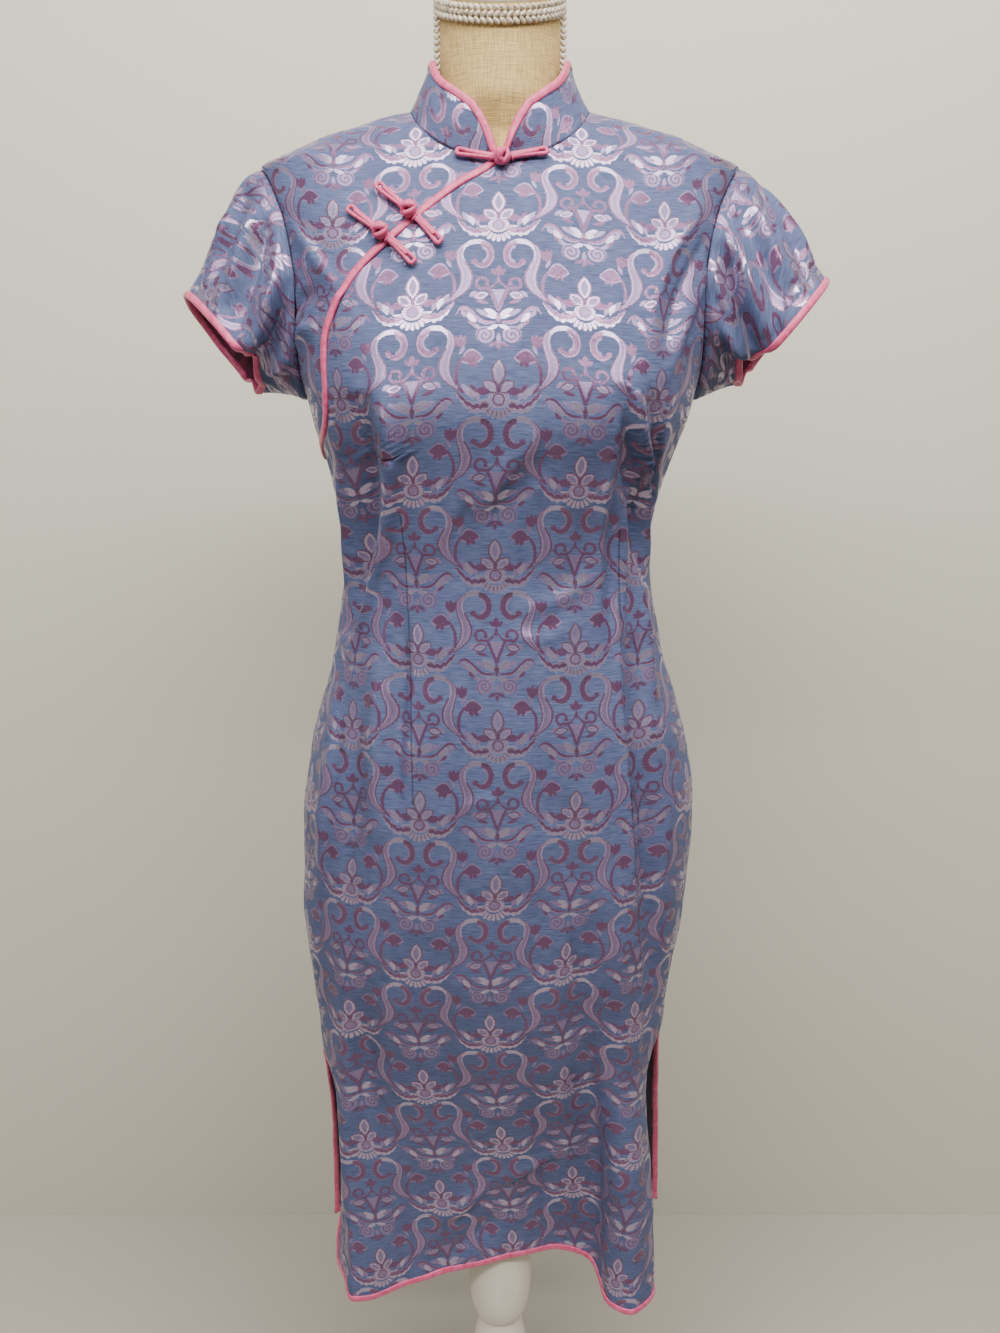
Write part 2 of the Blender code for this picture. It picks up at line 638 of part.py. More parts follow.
def make_sleeves(look, satin):
    for side in ("right", "left"):
        rows = sleeve_rows(side, (0.012, 0.18, 0.35, 0.52, 0.68, 0.93))
        end = sleeve_rows(side, (0.93, 0.965, 1.0))
        run = np.linalg.norm(end[2] - end[0], axis=1)[:, None]
        edge = end[2] - (end[2] - end[0]) / run * (BINDING_WIDTH + SEAM * 3)
        rows[-1] = edge
        centre = np.mean(rows.reshape(-1, 3), axis=0)
        cloth(f"sleeve_{side}", rows, look, centre=tuple(centre), closed_round=True)
        across = end[2] - end[0]
        line = end[2] - across / run * (BINDING_WIDTH / 2)
        round_it = np.roll(line, -1, axis=0) - np.roll(line, 1, axis=0)
        normal = np.cross(round_it, across)
        outward = line - line.mean(axis=0)
        normal *= np.sign(np.sum(normal * outward, axis=1))[:, None]
        edging(f"sleeve_edging_{side}", line, across, normal, satin, closed=True)


def make_collar(look, satin):
    rows = collar_rows((0.0, 1.0))
    base, top = rows
    tall = np.linalg.norm(top - base, axis=1)[:, None]
    up = (top - base) / tall
    along = np.gradient(top, axis=0)
    along /= np.linalg.norm(along, axis=1)[:, None]
    normal = np.cross(up, along)
    normal /= np.linalg.norm(normal, axis=1)[:, None]
    across = np.cross(along, normal)
    room = BINDING_WIDTH + SEAM * 4
    top_along = np.gradient(top, axis=0)
    place = np.arange(len(base), dtype=float)
    shift = np.zeros(len(base))
    drop = np.zeros(len(base))
    for i in range(len(base)):
        basis = np.stack([top_along[i], up[i]], axis=1)
        shift[i], drop[i] = np.linalg.lstsq(basis, across[i] * room, rcond=None)[0]
    order = np.argsort(place - shift)
    height = np.interp(place, (place - shift)[order], (tall[:, 0] - drop)[order])[:, None]
    kept = height[:, 0] > 0.0035
    low, high = base + up * SEAM * 3.5, base + up * height
    cloth("collar", np.array([low, (low + high) / 2, high])[:, kept], look)
    ends = slice(1, -1)
    edging("collar_edging", (top - across * BINDING_WIDTH / 2)[ends], across[ends], normal[ends], satin)


def make_crossover_edging(satin):
    z = np.concatenate([np.linspace(CROSSOVER_Z + 0.004, 1.16, 8), np.linspace(1.17, FRONT_NECK_Z - 0.006, 20)])
    angle = crossover_angle(z)
    line, normal = ring_point(z, angle), surface_normal(z, angle)
    across = np.cross(np.gradient(line, axis=0), normal)
    edging("crossover_edging", line, across, normal, satin, rise=BINDING_RISE)


def panel_edge(panel, count):
    """The finished lower edge of a panel: down one slit, along the hem and up the other slit."""
    start = 0.0 if panel == "front" else math.pi
    right = start - math.pi / 2 if panel == "front" else start + math.pi / 2
    left = start + math.pi / 2 if panel == "front" else start - math.pi / 2
    up = [HEM_Z] + [z for z in SKIRT_ROWS if z < SLIT_TOP["left"] - 0.006] + [SLIT_TOP["left"] - 0.005]
    down = [SLIT_TOP["right"] - 0.005] + [z for z in SKIRT_ROWS[::-1] if z < SLIT_TOP["right"] - 0.006] + [HEM_Z]
    down, up = np.array(down), np.array(up)
    run = np.linspace(right, left, count)[1:-1]
    z = np.concatenate([down, 0 * run + HEM_Z, up])
    angle = np.concatenate([0 * down + right, run, 0 * up + left])
    return z, angle


def make_hem_edging(panel, satin):
    z, angle = panel_edge(panel, 32)
    line = skirt_point(panel, z, angle)
    step = 1e-3
    wide = skirt_point(panel, z, angle + step) - skirt_point(panel, z, angle - step)
    tall = skirt_point(panel, z + step, angle) - skirt_point(panel, z - step, angle)
    normal = np.cross(wide, tall)
    along = np.gradient(line, axis=0)
    across = np.cross(normal, along)
    across *= -np.sign(across[len(line) // 2, 2])
    across /= np.linalg.norm(across, axis=1)[:, None]
    edging(f"{panel}_hem_edging", line - across * BINDING_WIDTH / 2, across, normal, satin)


def make_frogs(satin):
    """Three straight frog fastenings: two bars that meet at a knot, lying on the cloth."""
    for row in FROGS:
        frog = dict(zip(FROG_COLUMNS, row))
        angle = angle_at(frog["x"], frog["z"])
        middle, normal = ring_point(frog["z"], angle), surface_normal(np.float64(frog["z"]), angle)
        flat = np.cross((0.0, 0.0, 1.0), normal)
        flat /= np.linalg.norm(flat)
        up = np.cross(normal, flat)
        lift = middle + normal * (BINDING_RISE + BINDING_THICK / 2 + FROG_BAR_THICK / 2 + 0.0016)
        bm = bmesh.new()
        bmesh.ops.create_uvsphere(bm, u_segments=12, v_segments=8, radius=FROG_KNOT_RADIUS)
        mesh = bpy.data.meshes.new("knot")
        bm.to_mesh(mesh)
        bm.free()
        knot = add_object(f"frog_{frog['name']}_knot", mesh, satin)
        knot.location = lift + normal * 0.0026
        for side, sign, tilt in (("right", -1, frog["tilt_right"]), ("left", 1, frog["tilt_left"])):
            lean = math.radians(tilt)
            run = (flat * math.cos(lean) + up * math.sin(lean)) * sign
            frog_bar(f"frog_{frog['name']}_bar_{side}", lift, run, normal, satin)


def frog_bar(name, start, run, normal, satin):
    across = np.cross(normal, run)
    rows = []
    for share, flare in ((0.0, 0.8), (0.12, 1.0), (0.82, 0.95), (0.93, 1.2), (1.0, 1.05)):
        centre = start + run * (FROG_KNOT_RADIUS + 0.0006 + FROG_BAR_LENGTH * share)
        centre = centre - normal * 0.0004
        ring = []
        for i in range(8):
            a = 2 * math.pi * i / 8
            wide = across * math.cos(a) * FROG_BAR_WIDTH / 2 * flare
            ring.append(centre + wide + normal * math.sin(a) * FROG_BAR_THICK / 2 * flare)
        rows.append(ring)
    add_object(name, lofted(rows, closed_round=True, cap_ends=True), satin)


# ------------------------------------------------------------------ the form and its stand
def form_ring(z, angles):
    """The form under the dress, smaller by the ease, and its neck above the neckline."""
    ease = lookup(EASE, EASE_COLUMNS, "ease", z) + CLOTH
    return ring_point(z, angles, inset=ease)


def neck_ring(z, angles, slant=0.0):
    depth = np.where(np.cos(angles) >= 0, NECK_FRONT, NECK_BACK)
    x, y = NECK_HALF * np.sin(angles), -depth * np.cos(angles)
    return np.stack([x, y, z + y * math.tan(slant)], axis=-1)


def make_form(linen, cream, cord):
    angles = np.arange(28) * 2 * math.pi / 28
    low = form_ring(FORM_BOTTOM_Z, angles)
    centre = low.mean(axis=0)
    rows = [centre + (low - centre) * 0.86, centre + (low - centre) * 0.96 + (0, 0, 0.004), low + (0, 0, 0.014)]
    body = (0.76, 0.82, 0.88, 0.94, 1.00, 1.05, 1.10, 1.148, 1.20, 1.25, 1.30, 1.332, 1.346)
    rows += [form_ring(z, angles) - (0, 0, 0.0035) for z in body]
    rows += [form_ring(z, angles) - (0, 0, 0.0045) for z in (1.353, 1.361, 1.369, 1.376)]
    rows += [neck_ring(z, angles, s) for z, s in ((1.384, 0.0), (1.41, 0.1), (1.44, 0.3), (NECK_TOP_Z, NECK_SLANT))]
    add_object("form_torso", lofted(rows, closed_round=True, cap_ends=True), linen)

    cap = []
    for share, rise in ((1.0, 0.0004), (1.03, 0.003), (0.98, 0.008), (0.80, 0.012), (0.45, 0.0152), (0.12, CAP_HEIGHT)):
        ring = neck_ring(NECK_TOP_Z, angles, NECK_SLANT)
        middle = ring.mean(axis=0)
        cap.append(middle + (ring - middle) * share + (0, 0, rise))
    add_object("neck_cap", lofted(cap, closed_round=True, cap_ends=True), cream)

    ring = neck_ring(NECK_TOP_Z - ROPE_BAND_HALF - 0.001, angles, NECK_SLANT)
    middle = ring.mean(axis=0)
    out = (ring - middle) / np.linalg.norm(ring - middle, axis=1)[:, None]
    band = []
    for turn in np.arange(8) * math.pi / 4:
        flat = out * (ROPE_RADIUS + 0.0009 + ROPE_RADIUS * math.cos(turn))
        band.append(ring + flat + np.array((0.0, 0.0, ROPE_BAND_HALF * math.sin(turn))))
    band = np.transpose(np.array(band), (1, 0, 2))
    add_object("neck_rope", lofted(np.concatenate([band, band[:1]]), closed_round=True), cord)
    for label, sign in (("right", -1), ("left", 1)):
        heights = np.linspace(1.398, NECK_TOP_Z - 0.0185, 8)
        line = [(sign * (NECK_HALF + BRAID_RADIUS + 0.0004), 0.0, z) for z in heights]
        tube(f"neck_braid_{label}", line, BRAID_RADIUS, cord)


def make_stand(cream):
    turned("stand_shaft", SHAFT_PROFILE, cream)
    turned("stand_bulb", BULB_PROFILE, cream)
    turned("stand_column", COLUMN_PROFILE, cream)
    turned("stand_base", BASE_PROFILE, cream, steps=48)


def main():
    for old in list(bpy.data.objects):
        bpy.data.objects.remove(old)
    bpy.context.scene.collection.children.link(bpy.data.collections.new(COLLECTION_NAME))
    brocade = material("brocade", (0.20, 0.27, 0.45), 0.45)
    satin = material("pink_satin", (0.78, 0.16, 0.30), 0.35)
    linen = material("linen", (0.62, 0.47, 0.29), 0.85)
    cream = material("cream_paint", (0.72, 0.65, 0.53), 0.45)
    cord = material("silver_cord", (0.60, 0.54, 0.47), 0.5)
    make_panels(brocade)
    make_sleeves(brocade, satin)
    make_collar(brocade, satin)
    make_crossover_edging(satin)
    make_hem_edging("front", satin)
    make_hem_edging("back", satin)
    make_frogs(satin)
    make_form(linen, cream, cord)
    make_stand(cream)


main()
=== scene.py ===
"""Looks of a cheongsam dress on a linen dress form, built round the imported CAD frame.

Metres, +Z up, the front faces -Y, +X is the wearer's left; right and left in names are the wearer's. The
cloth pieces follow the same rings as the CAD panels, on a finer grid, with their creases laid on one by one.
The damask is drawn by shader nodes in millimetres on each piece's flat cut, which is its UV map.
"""

import math

import bmesh
import bpy
import numpy as np
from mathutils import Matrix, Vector


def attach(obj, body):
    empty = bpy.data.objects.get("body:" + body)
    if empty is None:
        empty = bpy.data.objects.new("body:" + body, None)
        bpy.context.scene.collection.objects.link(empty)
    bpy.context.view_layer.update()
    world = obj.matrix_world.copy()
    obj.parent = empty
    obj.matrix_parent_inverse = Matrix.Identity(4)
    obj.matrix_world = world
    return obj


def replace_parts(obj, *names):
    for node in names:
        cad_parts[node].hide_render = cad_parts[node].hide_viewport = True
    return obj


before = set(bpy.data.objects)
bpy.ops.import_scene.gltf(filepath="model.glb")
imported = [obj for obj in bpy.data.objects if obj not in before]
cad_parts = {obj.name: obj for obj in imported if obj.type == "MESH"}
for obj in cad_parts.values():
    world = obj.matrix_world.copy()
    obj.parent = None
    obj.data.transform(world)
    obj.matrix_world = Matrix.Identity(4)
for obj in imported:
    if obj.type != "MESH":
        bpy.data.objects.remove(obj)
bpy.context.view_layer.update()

# ------------------------------------------------------------------ driving dimensions
CLOTH = 0.0015  # wall of every cloth panel
BINDING_WIDTH = 0.0062  # satin edging, seen from outside
BINDING_THICK = 0.0026
BINDING_LAP = 0.0008  # how far an edging reaches past the edge of its cloth

HEM_Z = 0.325
SLIT_TOP = {"right": 0.560, "left": 0.602}  # the wearer's right and left
PINCH = {"right": 0.013, "left": 0.027}  # the front panel draws in below the top of each slit
PINCH_Z, PINCH_SPREAD, PINCH_START = 0.560, 0.100, 0.045  # its height, its fading below and above
SKIRT_BLEND_Z = 0.680  # the skirt starts to leave its round rings here
CROSSOVER_Z = 1.116  # where the crossover opening meets the side seam
UNDERARM_Z = 1.165
FRONT_NECK_Z = 1.341
SHOULDER_TIP_Z = 1.346
NECK_SIDE_Z = 1.386
NECK_SIDE_X = 0.0705
NECKLINE_POWER, NECKLINE_DEPTH = 1.8, 0.058
ARMHOLE_FRONT = math.radians(25.5)  # how far the armhole bites into each panel
ARMHOLE_BACK = math.radians(28)
ARMHOLE_UPPER_POWER, ARMHOLE_LOWER_POWER = 4.0, 1.2

BUST_X, BUST_Z = 0.088, 1.148
BUST_RISE, BUST_SPREAD_X, BUST_SPREAD_Z = 0.007, 0.038, 0.045

COLLAR_STAND = 0.0430  # along the slope of the collar
COLLAR_TOP_HALF, COLLAR_TOP_FRONT, COLLAR_TOP_BACK = 0.0575, 0.0570, 0.0560
COLLAR_TOP_Z = 1.4190

FROG_BAR_LENGTH = 0.0290
FROG_KNOT_RADIUS = 0.0056

FORM_BOTTOM_Z = 0.700
NECK_HALF, NECK_FRONT, NECK_BACK = 0.0482, 0.0500, 0.0480
NECK_TOP_Z = 1.476  # the height of the slanted neck top on the form's axis
NECK_SLANT = math.radians(27)
CAP_HEIGHT = 0.016
ROPE_BAND_HALF = 0.0066  # half the height of the band of three cords round the neck
BRAID_RADIUS = 0.0021

# The outside of the dress on rings round the figure. square flattens a ring's front or back;
# shift moves it sideways, because the dress hangs a little towards the wearer's right.
SECTION_COLUMNS = ("z", "half", "front", "back", "square_front", "square_back", "shift")
SECTIONS = (
    (0.325, 0.15, 0.075, 0.08, 0.12, 0.12, -0.008),
    (0.56, 0.161, 0.092, 0.093, 0.12, 0.12, -0.009),
    (0.64, 0.1675, 0.1, 0.103, 0.14, 0.14, -0.0085),
    (0.72, 0.176, 0.11, 0.116, 0.17, 0.16, -0.0055),
    (0.8, 0.1765, 0.115, 0.125, 0.18, 0.18, -0.0015),
    (0.874, 0.1665, 0.113, 0.117, 0.17, 0.17, -0.0005),
    (0.947, 0.1455, 0.105, 0.093, 0.14, 0.13, -0.0015),
    (1.018, 0.1335, 0.0985, 0.0745, 0.12, 0.1, -0.0025),
    (1.055, 0.133, 0.103, 0.0745, 0.16, 0.12, -0.003),
    (1.095, 0.141, 0.114, 0.081, 0.24, 0.16, -0.002),
    (1.148, 0.157, 0.126, 0.092, 0.34, 0.22, 0),
    (1.2, 0.17, 0.117, 0.097, 0.36, 0.26, 0),
    (1.25, 0.1775, 0.0995, 0.097, 0.36, 0.28, 0),
    (1.3, 0.187, 0.078, 0.09, 0.34, 0.28, 0),
    (1.332, 0.1935, 0.0615, 0.078, 0.3, 0.26, 0),
    (1.346, 0.194, 0.0552, 0.0715, 0.28, 0.24, 0),
    (1.352, 0.182, 0.0535, 0.069, 0.24, 0.2, 0),
    (1.359, 0.1655, 0.0505, 0.066, 0.2, 0.16, 0),
    (1.367, 0.146, 0.0475, 0.063, 0.14, 0.12, 0),
    (1.374, 0.122, 0.044, 0.0595, 0.08, 0.08, 0),
    (1.381, 0.096, 0.0405, 0.056, 0.04, 0.04, 0),
    (1.386, 0.0705, 0.0375, 0.052, 0, 0, 0),
)
# How much smaller the form is than the dress, all round.
EASE_COLUMNS = ("z", "ease")
EASE = (
    (0.7, 0.012),
    (0.8, 0.007),
    (0.9, 0.008),
    (0.98, 0.012),
    (1.06, 0.012),
    (1.148, 0.006),
    (1.3, 0.005),
    (1.391, 0.0045),
)
# The lower edge of each panel in plan, from the wearer's right: place, and how far the edge is raised above
# HEM_Z there. The front caves in at its middle and has one deep flute.
HEM_COLUMNS = ("x", "y", "lift")
FRONT_HEM = (
    (-0.164, -0.004, 0),
    (-0.1506, -0.034, 0),
    (-0.1407, -0.056, 0),
    (-0.126, -0.057, 0.0015),
    (-0.0888, -0.0453, 0.008),
    (-0.0553, -0.04, 0.015),
    (-0.0218, -0.037, 0.022),
    (0.0176, -0.033, 0.029),
    (0.0542, -0.0205, 0.027),
    (0.0741, -0.019, 0.022),
    (0.0886, -0.024, 0.016),
    (0.0952, -0.04, 0.007),
    (0.1047, -0.0623, 0),
    (0.1224, -0.0726, 0),
    (0.138, -0.0623, 0),
    (0.1483, -0.0439, 0),
    (0.15, -0.01, 0),
)
BACK_HEM = (
    (-0.175, 0.062, 0),
    (-0.15, 0.083, 0),
    (-0.08, 0.092, 0.003),
    (0, 0.087, 0.005),
    (0.08, 0.095, 0.003),
    (0.14, 0.098, 0),
    (0.17, 0.084, 0),
)
# The crossover opening on the wearer's right front: its angle round the ring at each height, in degrees.
CROSSOVER_COLUMNS = ("z", "angle")
CROSSOVER = (
    (1.116, -88),
    (1.1228, -79),
    (1.1418, -61.7),
    (1.1662, -55.7),
    (1.1898, -53),
    (1.2059, -51),
    (1.2217, -47.4),
    (1.2405, -41.8),
    (1.2563, -36.3),
    (1.2702, -30.3),
    (1.2965, -19.1),
    (1.3198, -9.6),
    (1.3335, -2.8),
    (1.341, 0),
)
# How much of the collar's full height stands at a distance along the neckline from the front.
COLLAR_EDGE_COLUMNS = ("along", "share")
COLLAR_EDGE = (
    (0, 0.1),
    (0.003, 0.16),
    (0.007, 0.4),
    (0.015, 0.71),
    (0.025, 0.91),
    (0.045, 1),
    (0.08, 1),
    (0.115, 0.94),
    (0.3, 0.94),
)
# The four quarter points of each sleeve's open end.
SLEEVE_END = {
    "right": {
        "top": (-0.2694, 0.022, 1.247),
        "front": (-0.2197, -0.06, 1.2142),
        "under": (-0.2035, 0, 1.17),
        "back": (-0.25, 0.062, 1.211),
    },
    "left": {
        "top": (0.2684, -0.014, 1.2535),
        "front": (0.229, -0.06, 1.217),
        "under": (0.202, 0, 1.1705),
        "back": (0.25, 0.062, 1.227),
    },
}
# How the open end is tucked up between its front and its underarm.
SLEEVE_TUCK = {"right": (-0.004, 0.005, 0.018), "left": (-0.0015, 0.005, 0.0165)}
SLEEVE_TUCK_ANGLE, SLEEVE_TUCK_SPREAD = math.radians(150), math.radians(27)
# The three frogs: where each knot is, and how far each bar leans from the level, in degrees.
FROG_COLUMNS = ("name", "x", "z", "tilt_right", "tilt_left")
FROGS = (
    ("collar", 0.0015, 1.3371, -14, 15),
    ("upper", -0.068, 1.296, -45, -45),
    ("lower", -0.0885, 1.28, -41, -41),
)
# Radius of the turned stand at each height, from the form down.
SHAFT_PROFILE = ((0.699, 0.04), (0.691, 0.042), (0.688, 0.018), (0.66, 0.015), (0.46, 0.015))
BULB_PROFILE = (
    (0.4594, 0.015),
    (0.452, 0.0185),
    (0.43, 0.023),
    (0.39, 0.0275),
    (0.345, 0.0302),
    (0.31, 0.031),
    (0.288, 0.0298),
    (0.272, 0.0262),
    (0.2625, 0.0205),
)
COLUMN_PROFILE = (
    (0.2618, 0.0195),
    (0.252, 0.0225),
    (0.234, 0.0262),
    (0.2, 0.0325),
    (0.14, 0.037),
    (0.09, 0.04),
    (0.05, 0.048),
    (0.03, 0.06),
    (0.0223, 0.064),
)
BASE_PROFILE = (
    (0.022, 0.064),
    (0.022, 0.16),
    (0.019, 0.17),
    (0.012, 0.175),
    (0.005, 0.174),
    (0, 0.168),
)


def smooth(xs, ys, x):
    """The monotone cubic through the points (xs, ys), at x."""
    xs, ys, x = np.asarray(xs, float), np.asarray(ys, float), np.asarray(x, float)
    step = np.diff(xs)
    rise = np.diff(ys) / step
    slope = np.zeros(len(xs))
    same = rise[:-1] * rise[1:] > 0
    both = np.where(same, rise[:-1] + rise[1:], 1.0)
    slope[1:-1] = np.where(same, 2 * rise[:-1] * rise[1:] / both, 0.0)
    slope[0], slope[-1] = rise[0], rise[-1]
    x = np.clip(x, xs[0], xs[-1])
    i = np.clip(np.searchsorted(xs, x, side="right") - 1, 0, len(step) - 1)
    t = (x - xs[i]) / step[i]
    start, end = (1 + 2 * t) * (1 - t) ** 2, t * t * (3 - 2 * t)
    leave, arrive = t * (1 - t) ** 2, t * t * (t - 1)
    return ys[i] * start + ys[i + 1] * end + step[i] * (slope[i] * leave + slope[i + 1] * arrive)


def unit(vectors):
    return vectors / np.linalg.norm(vectors, axis=-1)[..., None]


def square_to(vectors, *directions):
    """Unit vectors, less what of them lies along the given directions."""
    for direction in directions:
        vectors = vectors - direction * np.sum(vectors * direction, axis=1)[:, None]
    return unit(vectors)


def lengths(points):
    """How far along a line each of its points lies."""
    return np.concatenate([[0], np.cumsum(np.linalg.norm(np.diff(points, axis=0), axis=1))])


def round_rings(rows):
    """How far round its ring each point of closed rings lies, and the full girth in a last column."""
    sizes = np.linalg.norm(np.roll(rows, -1, axis=1) - rows, axis=2)
    return np.concatenate([np.zeros((len(rows), 1)), np.cumsum(sizes, axis=1)], axis=1)


def lookup(table, columns, name, at):
    """One named column of a table, whose first column is the place, at a place."""
    values = np.array(table, float)
    return smooth(values[:, 0], values[:, columns.index(name)], at)


def section(name, z):
    return lookup(SECTIONS, SECTION_COLUMNS, name, z)


def ease_in_out(t):
    t = np.clip(t, 0, 1)
    return t * t * (3 - 2 * t)


def ring_point(z, angle, inset=0.0):
    """The ring at height z: angle 0 is the middle front, 90 degrees the wearer's left side."""
    z, angle = np.broadcast_arrays(np.asarray(z, float), np.asarray(angle, float))
    side, ahead = np.sin(angle), np.cos(angle)
    front = (section("front", z) - inset) * (1 + section("square_front", z) * side**2)
    back = (section("back", z) - inset) * (1 + section("square_back", z) * side**2)
    x = section("shift", z) + (section("half", z) - inset) * side
    y = -ahead * np.where(ahead >= 0, front, back)
    over = ((np.abs(x) - BUST_X) / BUST_SPREAD_X) ** 2 + ((z - BUST_Z) / BUST_SPREAD_Z) ** 2
    y = y - np.where(ahead > 0, BUST_RISE * np.exp(-over), 0.0)
    return np.stack([x, y, z], axis=-1)


def hem_point(hem, share):
    """The x, y and lift of a hem line, at a share of its length."""
    values = np.array(hem)
    along = lengths(values[:, :2])
    return [smooth(along / along[-1], values[:, HEM_COLUMNS.index(name)], share) for name in HEM_COLUMNS]


def skirt_point(panel, z, angle):
    """A point of the front or back panel. Below SKIRT_BLEND_Z its rows turn into the panel's own hem line."""
    hem = FRONT_HEM if panel == "front" else BACK_HEM
    z, angle = np.broadcast_arrays(np.asarray(z, float), np.asarray(angle, float))
    share = angle / math.pi + 0.5 if panel == "front" else 1.5 - angle / math.pi
    on_ring = ring_point(z, angle)
    hem_x, hem_y, lift = hem_point(hem, share)
    slit_top = SLIT_TOP["right"] + (SLIT_TOP["left"] - SLIT_TOP["right"]) * share
    middle = ease_in_out((SKIRT_BLEND_Z - z) / (SKIRT_BLEND_Z - HEM_Z))
    edge = 1 - (1 - np.clip((slit_top - z) / (slit_top - HEM_Z), 0, 1)) ** 1.8
    weight = middle + (edge - middle) * np.abs(2 * share - 1) ** 8
    x = on_ring[..., 0] + (hem_x - on_ring[..., 0]) * weight
    y = on_ring[..., 1] + (hem_y - on_ring[..., 1]) * weight
    if panel == "front":
        pinch = PINCH["right"] + (PINCH["left"] - PINCH["right"]) * share
        fade = np.exp(-(np.clip(PINCH_Z - z, 0, 1) / PINCH_SPREAD) ** 2)
        below = ease_in_out((slit_top - z) / PINCH_START) * fade
        x = x - np.sign(share - 0.5) * pinch * below * np.abs(2 * share - 1) ** 5
    near_hem = np.clip((SLIT_TOP["right"] - z) / (SLIT_TOP["right"] - HEM_Z), 0, 1) ** 4
    return np.stack([x, y, z + lift * near_hem], axis=-1)


def armhole_bite(z, bite):
    """How far the armhole's edge is from the side of the figure, as an angle, at height z."""
    across = np.clip(2 * (z - UNDERARM_Z) / (SHOULDER_TIP_Z - UNDERARM_Z) - 1, -1, 1)
    power = np.where(across > 0, ARMHOLE_UPPER_POWER, ARMHOLE_LOWER_POWER)
    return bite * np.sqrt(1 - np.abs(across) ** power)


def neckline_angle(z):
    """The angle of the front neckline's edge at height z."""
    down = np.clip((NECK_SIDE_Z - z) / (NECK_SIDE_Z - FRONT_NECK_Z), 0, 1)
    x = NECK_SIDE_X * np.sqrt(1 - down**NECKLINE_POWER)
    return np.arcsin(np.clip(x / section("half", z), -1, 1))


def angle_at(x, z):
    """The angle of a place on the front of a ring."""
    return np.arcsin(np.clip((x - section("shift", z)) / section("half", z), -1, 1))


def crossover_angle(z):
    """The angle of the crossover opening's edge at height z."""
    return np.radians(lookup(CROSSOVER, CROSSOVER_COLUMNS, "angle", z))


def surface_normal(z, angle):
    """The outward direction of the dress on a ring."""
    step = 1e-4
    round_it = ring_point(z, angle + step) - ring_point(z, angle - step)
    up = ring_point(z + step, angle) - ring_point(z - step, angle)
    return unit(np.cross(round_it, up))


def armhole_point(side, turn):
    """The armhole's seam line, from the shoulder tip (turn 0) down the front and up the back."""
    z = UNDERARM_Z + (SHOULDER_TIP_Z - UNDERARM_Z) * (1 + np.cos(turn)) / 2
    ahead = np.sin(turn) >= 0
    bite = np.where(ahead, -armhole_bite(z, ARMHOLE_FRONT), armhole_bite(z, ARMHOLE_BACK))
    angle = math.pi / 2 + bite
    return ring_point(z, angle if side == "left" else -angle)


def sleeve_rows(side, shares, around=24):
    """The sleeve's outside: each line from the armhole to the open end is a cubic Bezier curve."""
    turn = np.arange(around) * 2 * math.pi / around
    ends = {name: np.array(point) for name, point in SLEEVE_END[side].items()}
    middle = sum(ends.values()) / 4
    upright, fore = (ends["top"] - ends["under"]) / 2, (ends["front"] - ends["back"]) / 2
    end = middle + np.outer(np.cos(turn), upright) + np.outer(np.sin(turn), fore)
    tucked = np.exp(-(((turn - SLEEVE_TUCK_ANGLE) / SLEEVE_TUCK_SPREAD) ** 2))
    end += np.outer(tucked, SLEEVE_TUCK[side])
    start = armhole_point(side, turn)
    out = -1.0 if side == "right" else 1.0
    fall = np.where(np.cos(turn) > 0, 0.24, 0.38) * np.cos(turn)
    leave = unit(np.stack([out * 0.9 + 0 * turn, -0.30 * np.sin(turn), -0.25 - fall], axis=1))
    drop = -0.25 - 0.50 * np.cos(turn)
    arrive = unit(np.stack([out * 0.72 + 0 * turn, -0.10 * np.sin(turn), drop], axis=1))
    reach = np.linalg.norm(end - start, axis=1)[:, None] / 3
    hold, meet = start + leave * reach, end - arrive * reach
    s = np.reshape(shares, (-1, 1, 1))
    return start * (1 - s) ** 3 + 3 * hold * s * (1 - s) ** 2 + 3 * meet * s * s * (1 - s) + end * s**3


def neckline_loop(count):
    """Half the neckline's seam line, from the front middle by the left side to the back, and its lengths."""
    z = FRONT_NECK_Z + (NECK_SIDE_Z - FRONT_NECK_Z) * np.linspace(0, 1, 60)
    front = ring_point(z, neckline_angle(z))
    back = ring_point(NECK_SIDE_Z, np.linspace(math.pi / 2, math.pi, 60)[1:])
    half = np.concatenate([front, back])
    along = lengths(half)
    at = along[-1] * np.linspace(0, 1, count) ** 1.5
    return np.stack([np.interp(at, along, half[:, k]) for k in range(3)], axis=1), at


def collar_rows(shares, count=19):
    """The stand collar's outside, from its front edge on the wearer's right round the back to the left."""
    base, along = neckline_loop(count)
    turn = np.arctan2(base[:, 0] / NECK_SIDE_X, -base[:, 1] / NECKLINE_DEPTH)
    depth = np.where(np.cos(turn) >= 0, COLLAR_TOP_FRONT, COLLAR_TOP_BACK)
    full = np.stack([COLLAR_TOP_HALF * np.sin(turn), -depth * np.cos(turn), 0 * turn + COLLAR_TOP_Z], axis=1)
    up = COLLAR_STAND * unit(full - base)
    tall = lookup(COLLAR_EDGE, COLLAR_EDGE_COLUMNS, "share", along)[:, None]
    rows = []
    for s in shares:
        half = base + up * (tall * s)
        rows.append(np.concatenate([half * (-1, 1, 1), half[::-1][1:]]))
    return np.array(rows)


def form_ring(z, angles):
    """The form under the dress, which is smaller by the ease."""
    ease = lookup(EASE, EASE_COLUMNS, "ease", z) + CLOTH
    return ring_point(z, angles, inset=ease)


def neck_ring(z, angles, slant=0.0):
    """The form's neck above the neckline; a slanted ring is lower at the front."""
    depth = np.where(np.cos(angles) >= 0, NECK_FRONT, NECK_BACK)
    x, y = NECK_HALF * np.sin(angles), -depth * np.cos(angles)
    return np.stack([x, y, z + y * math.tan(slant)], axis=-1)


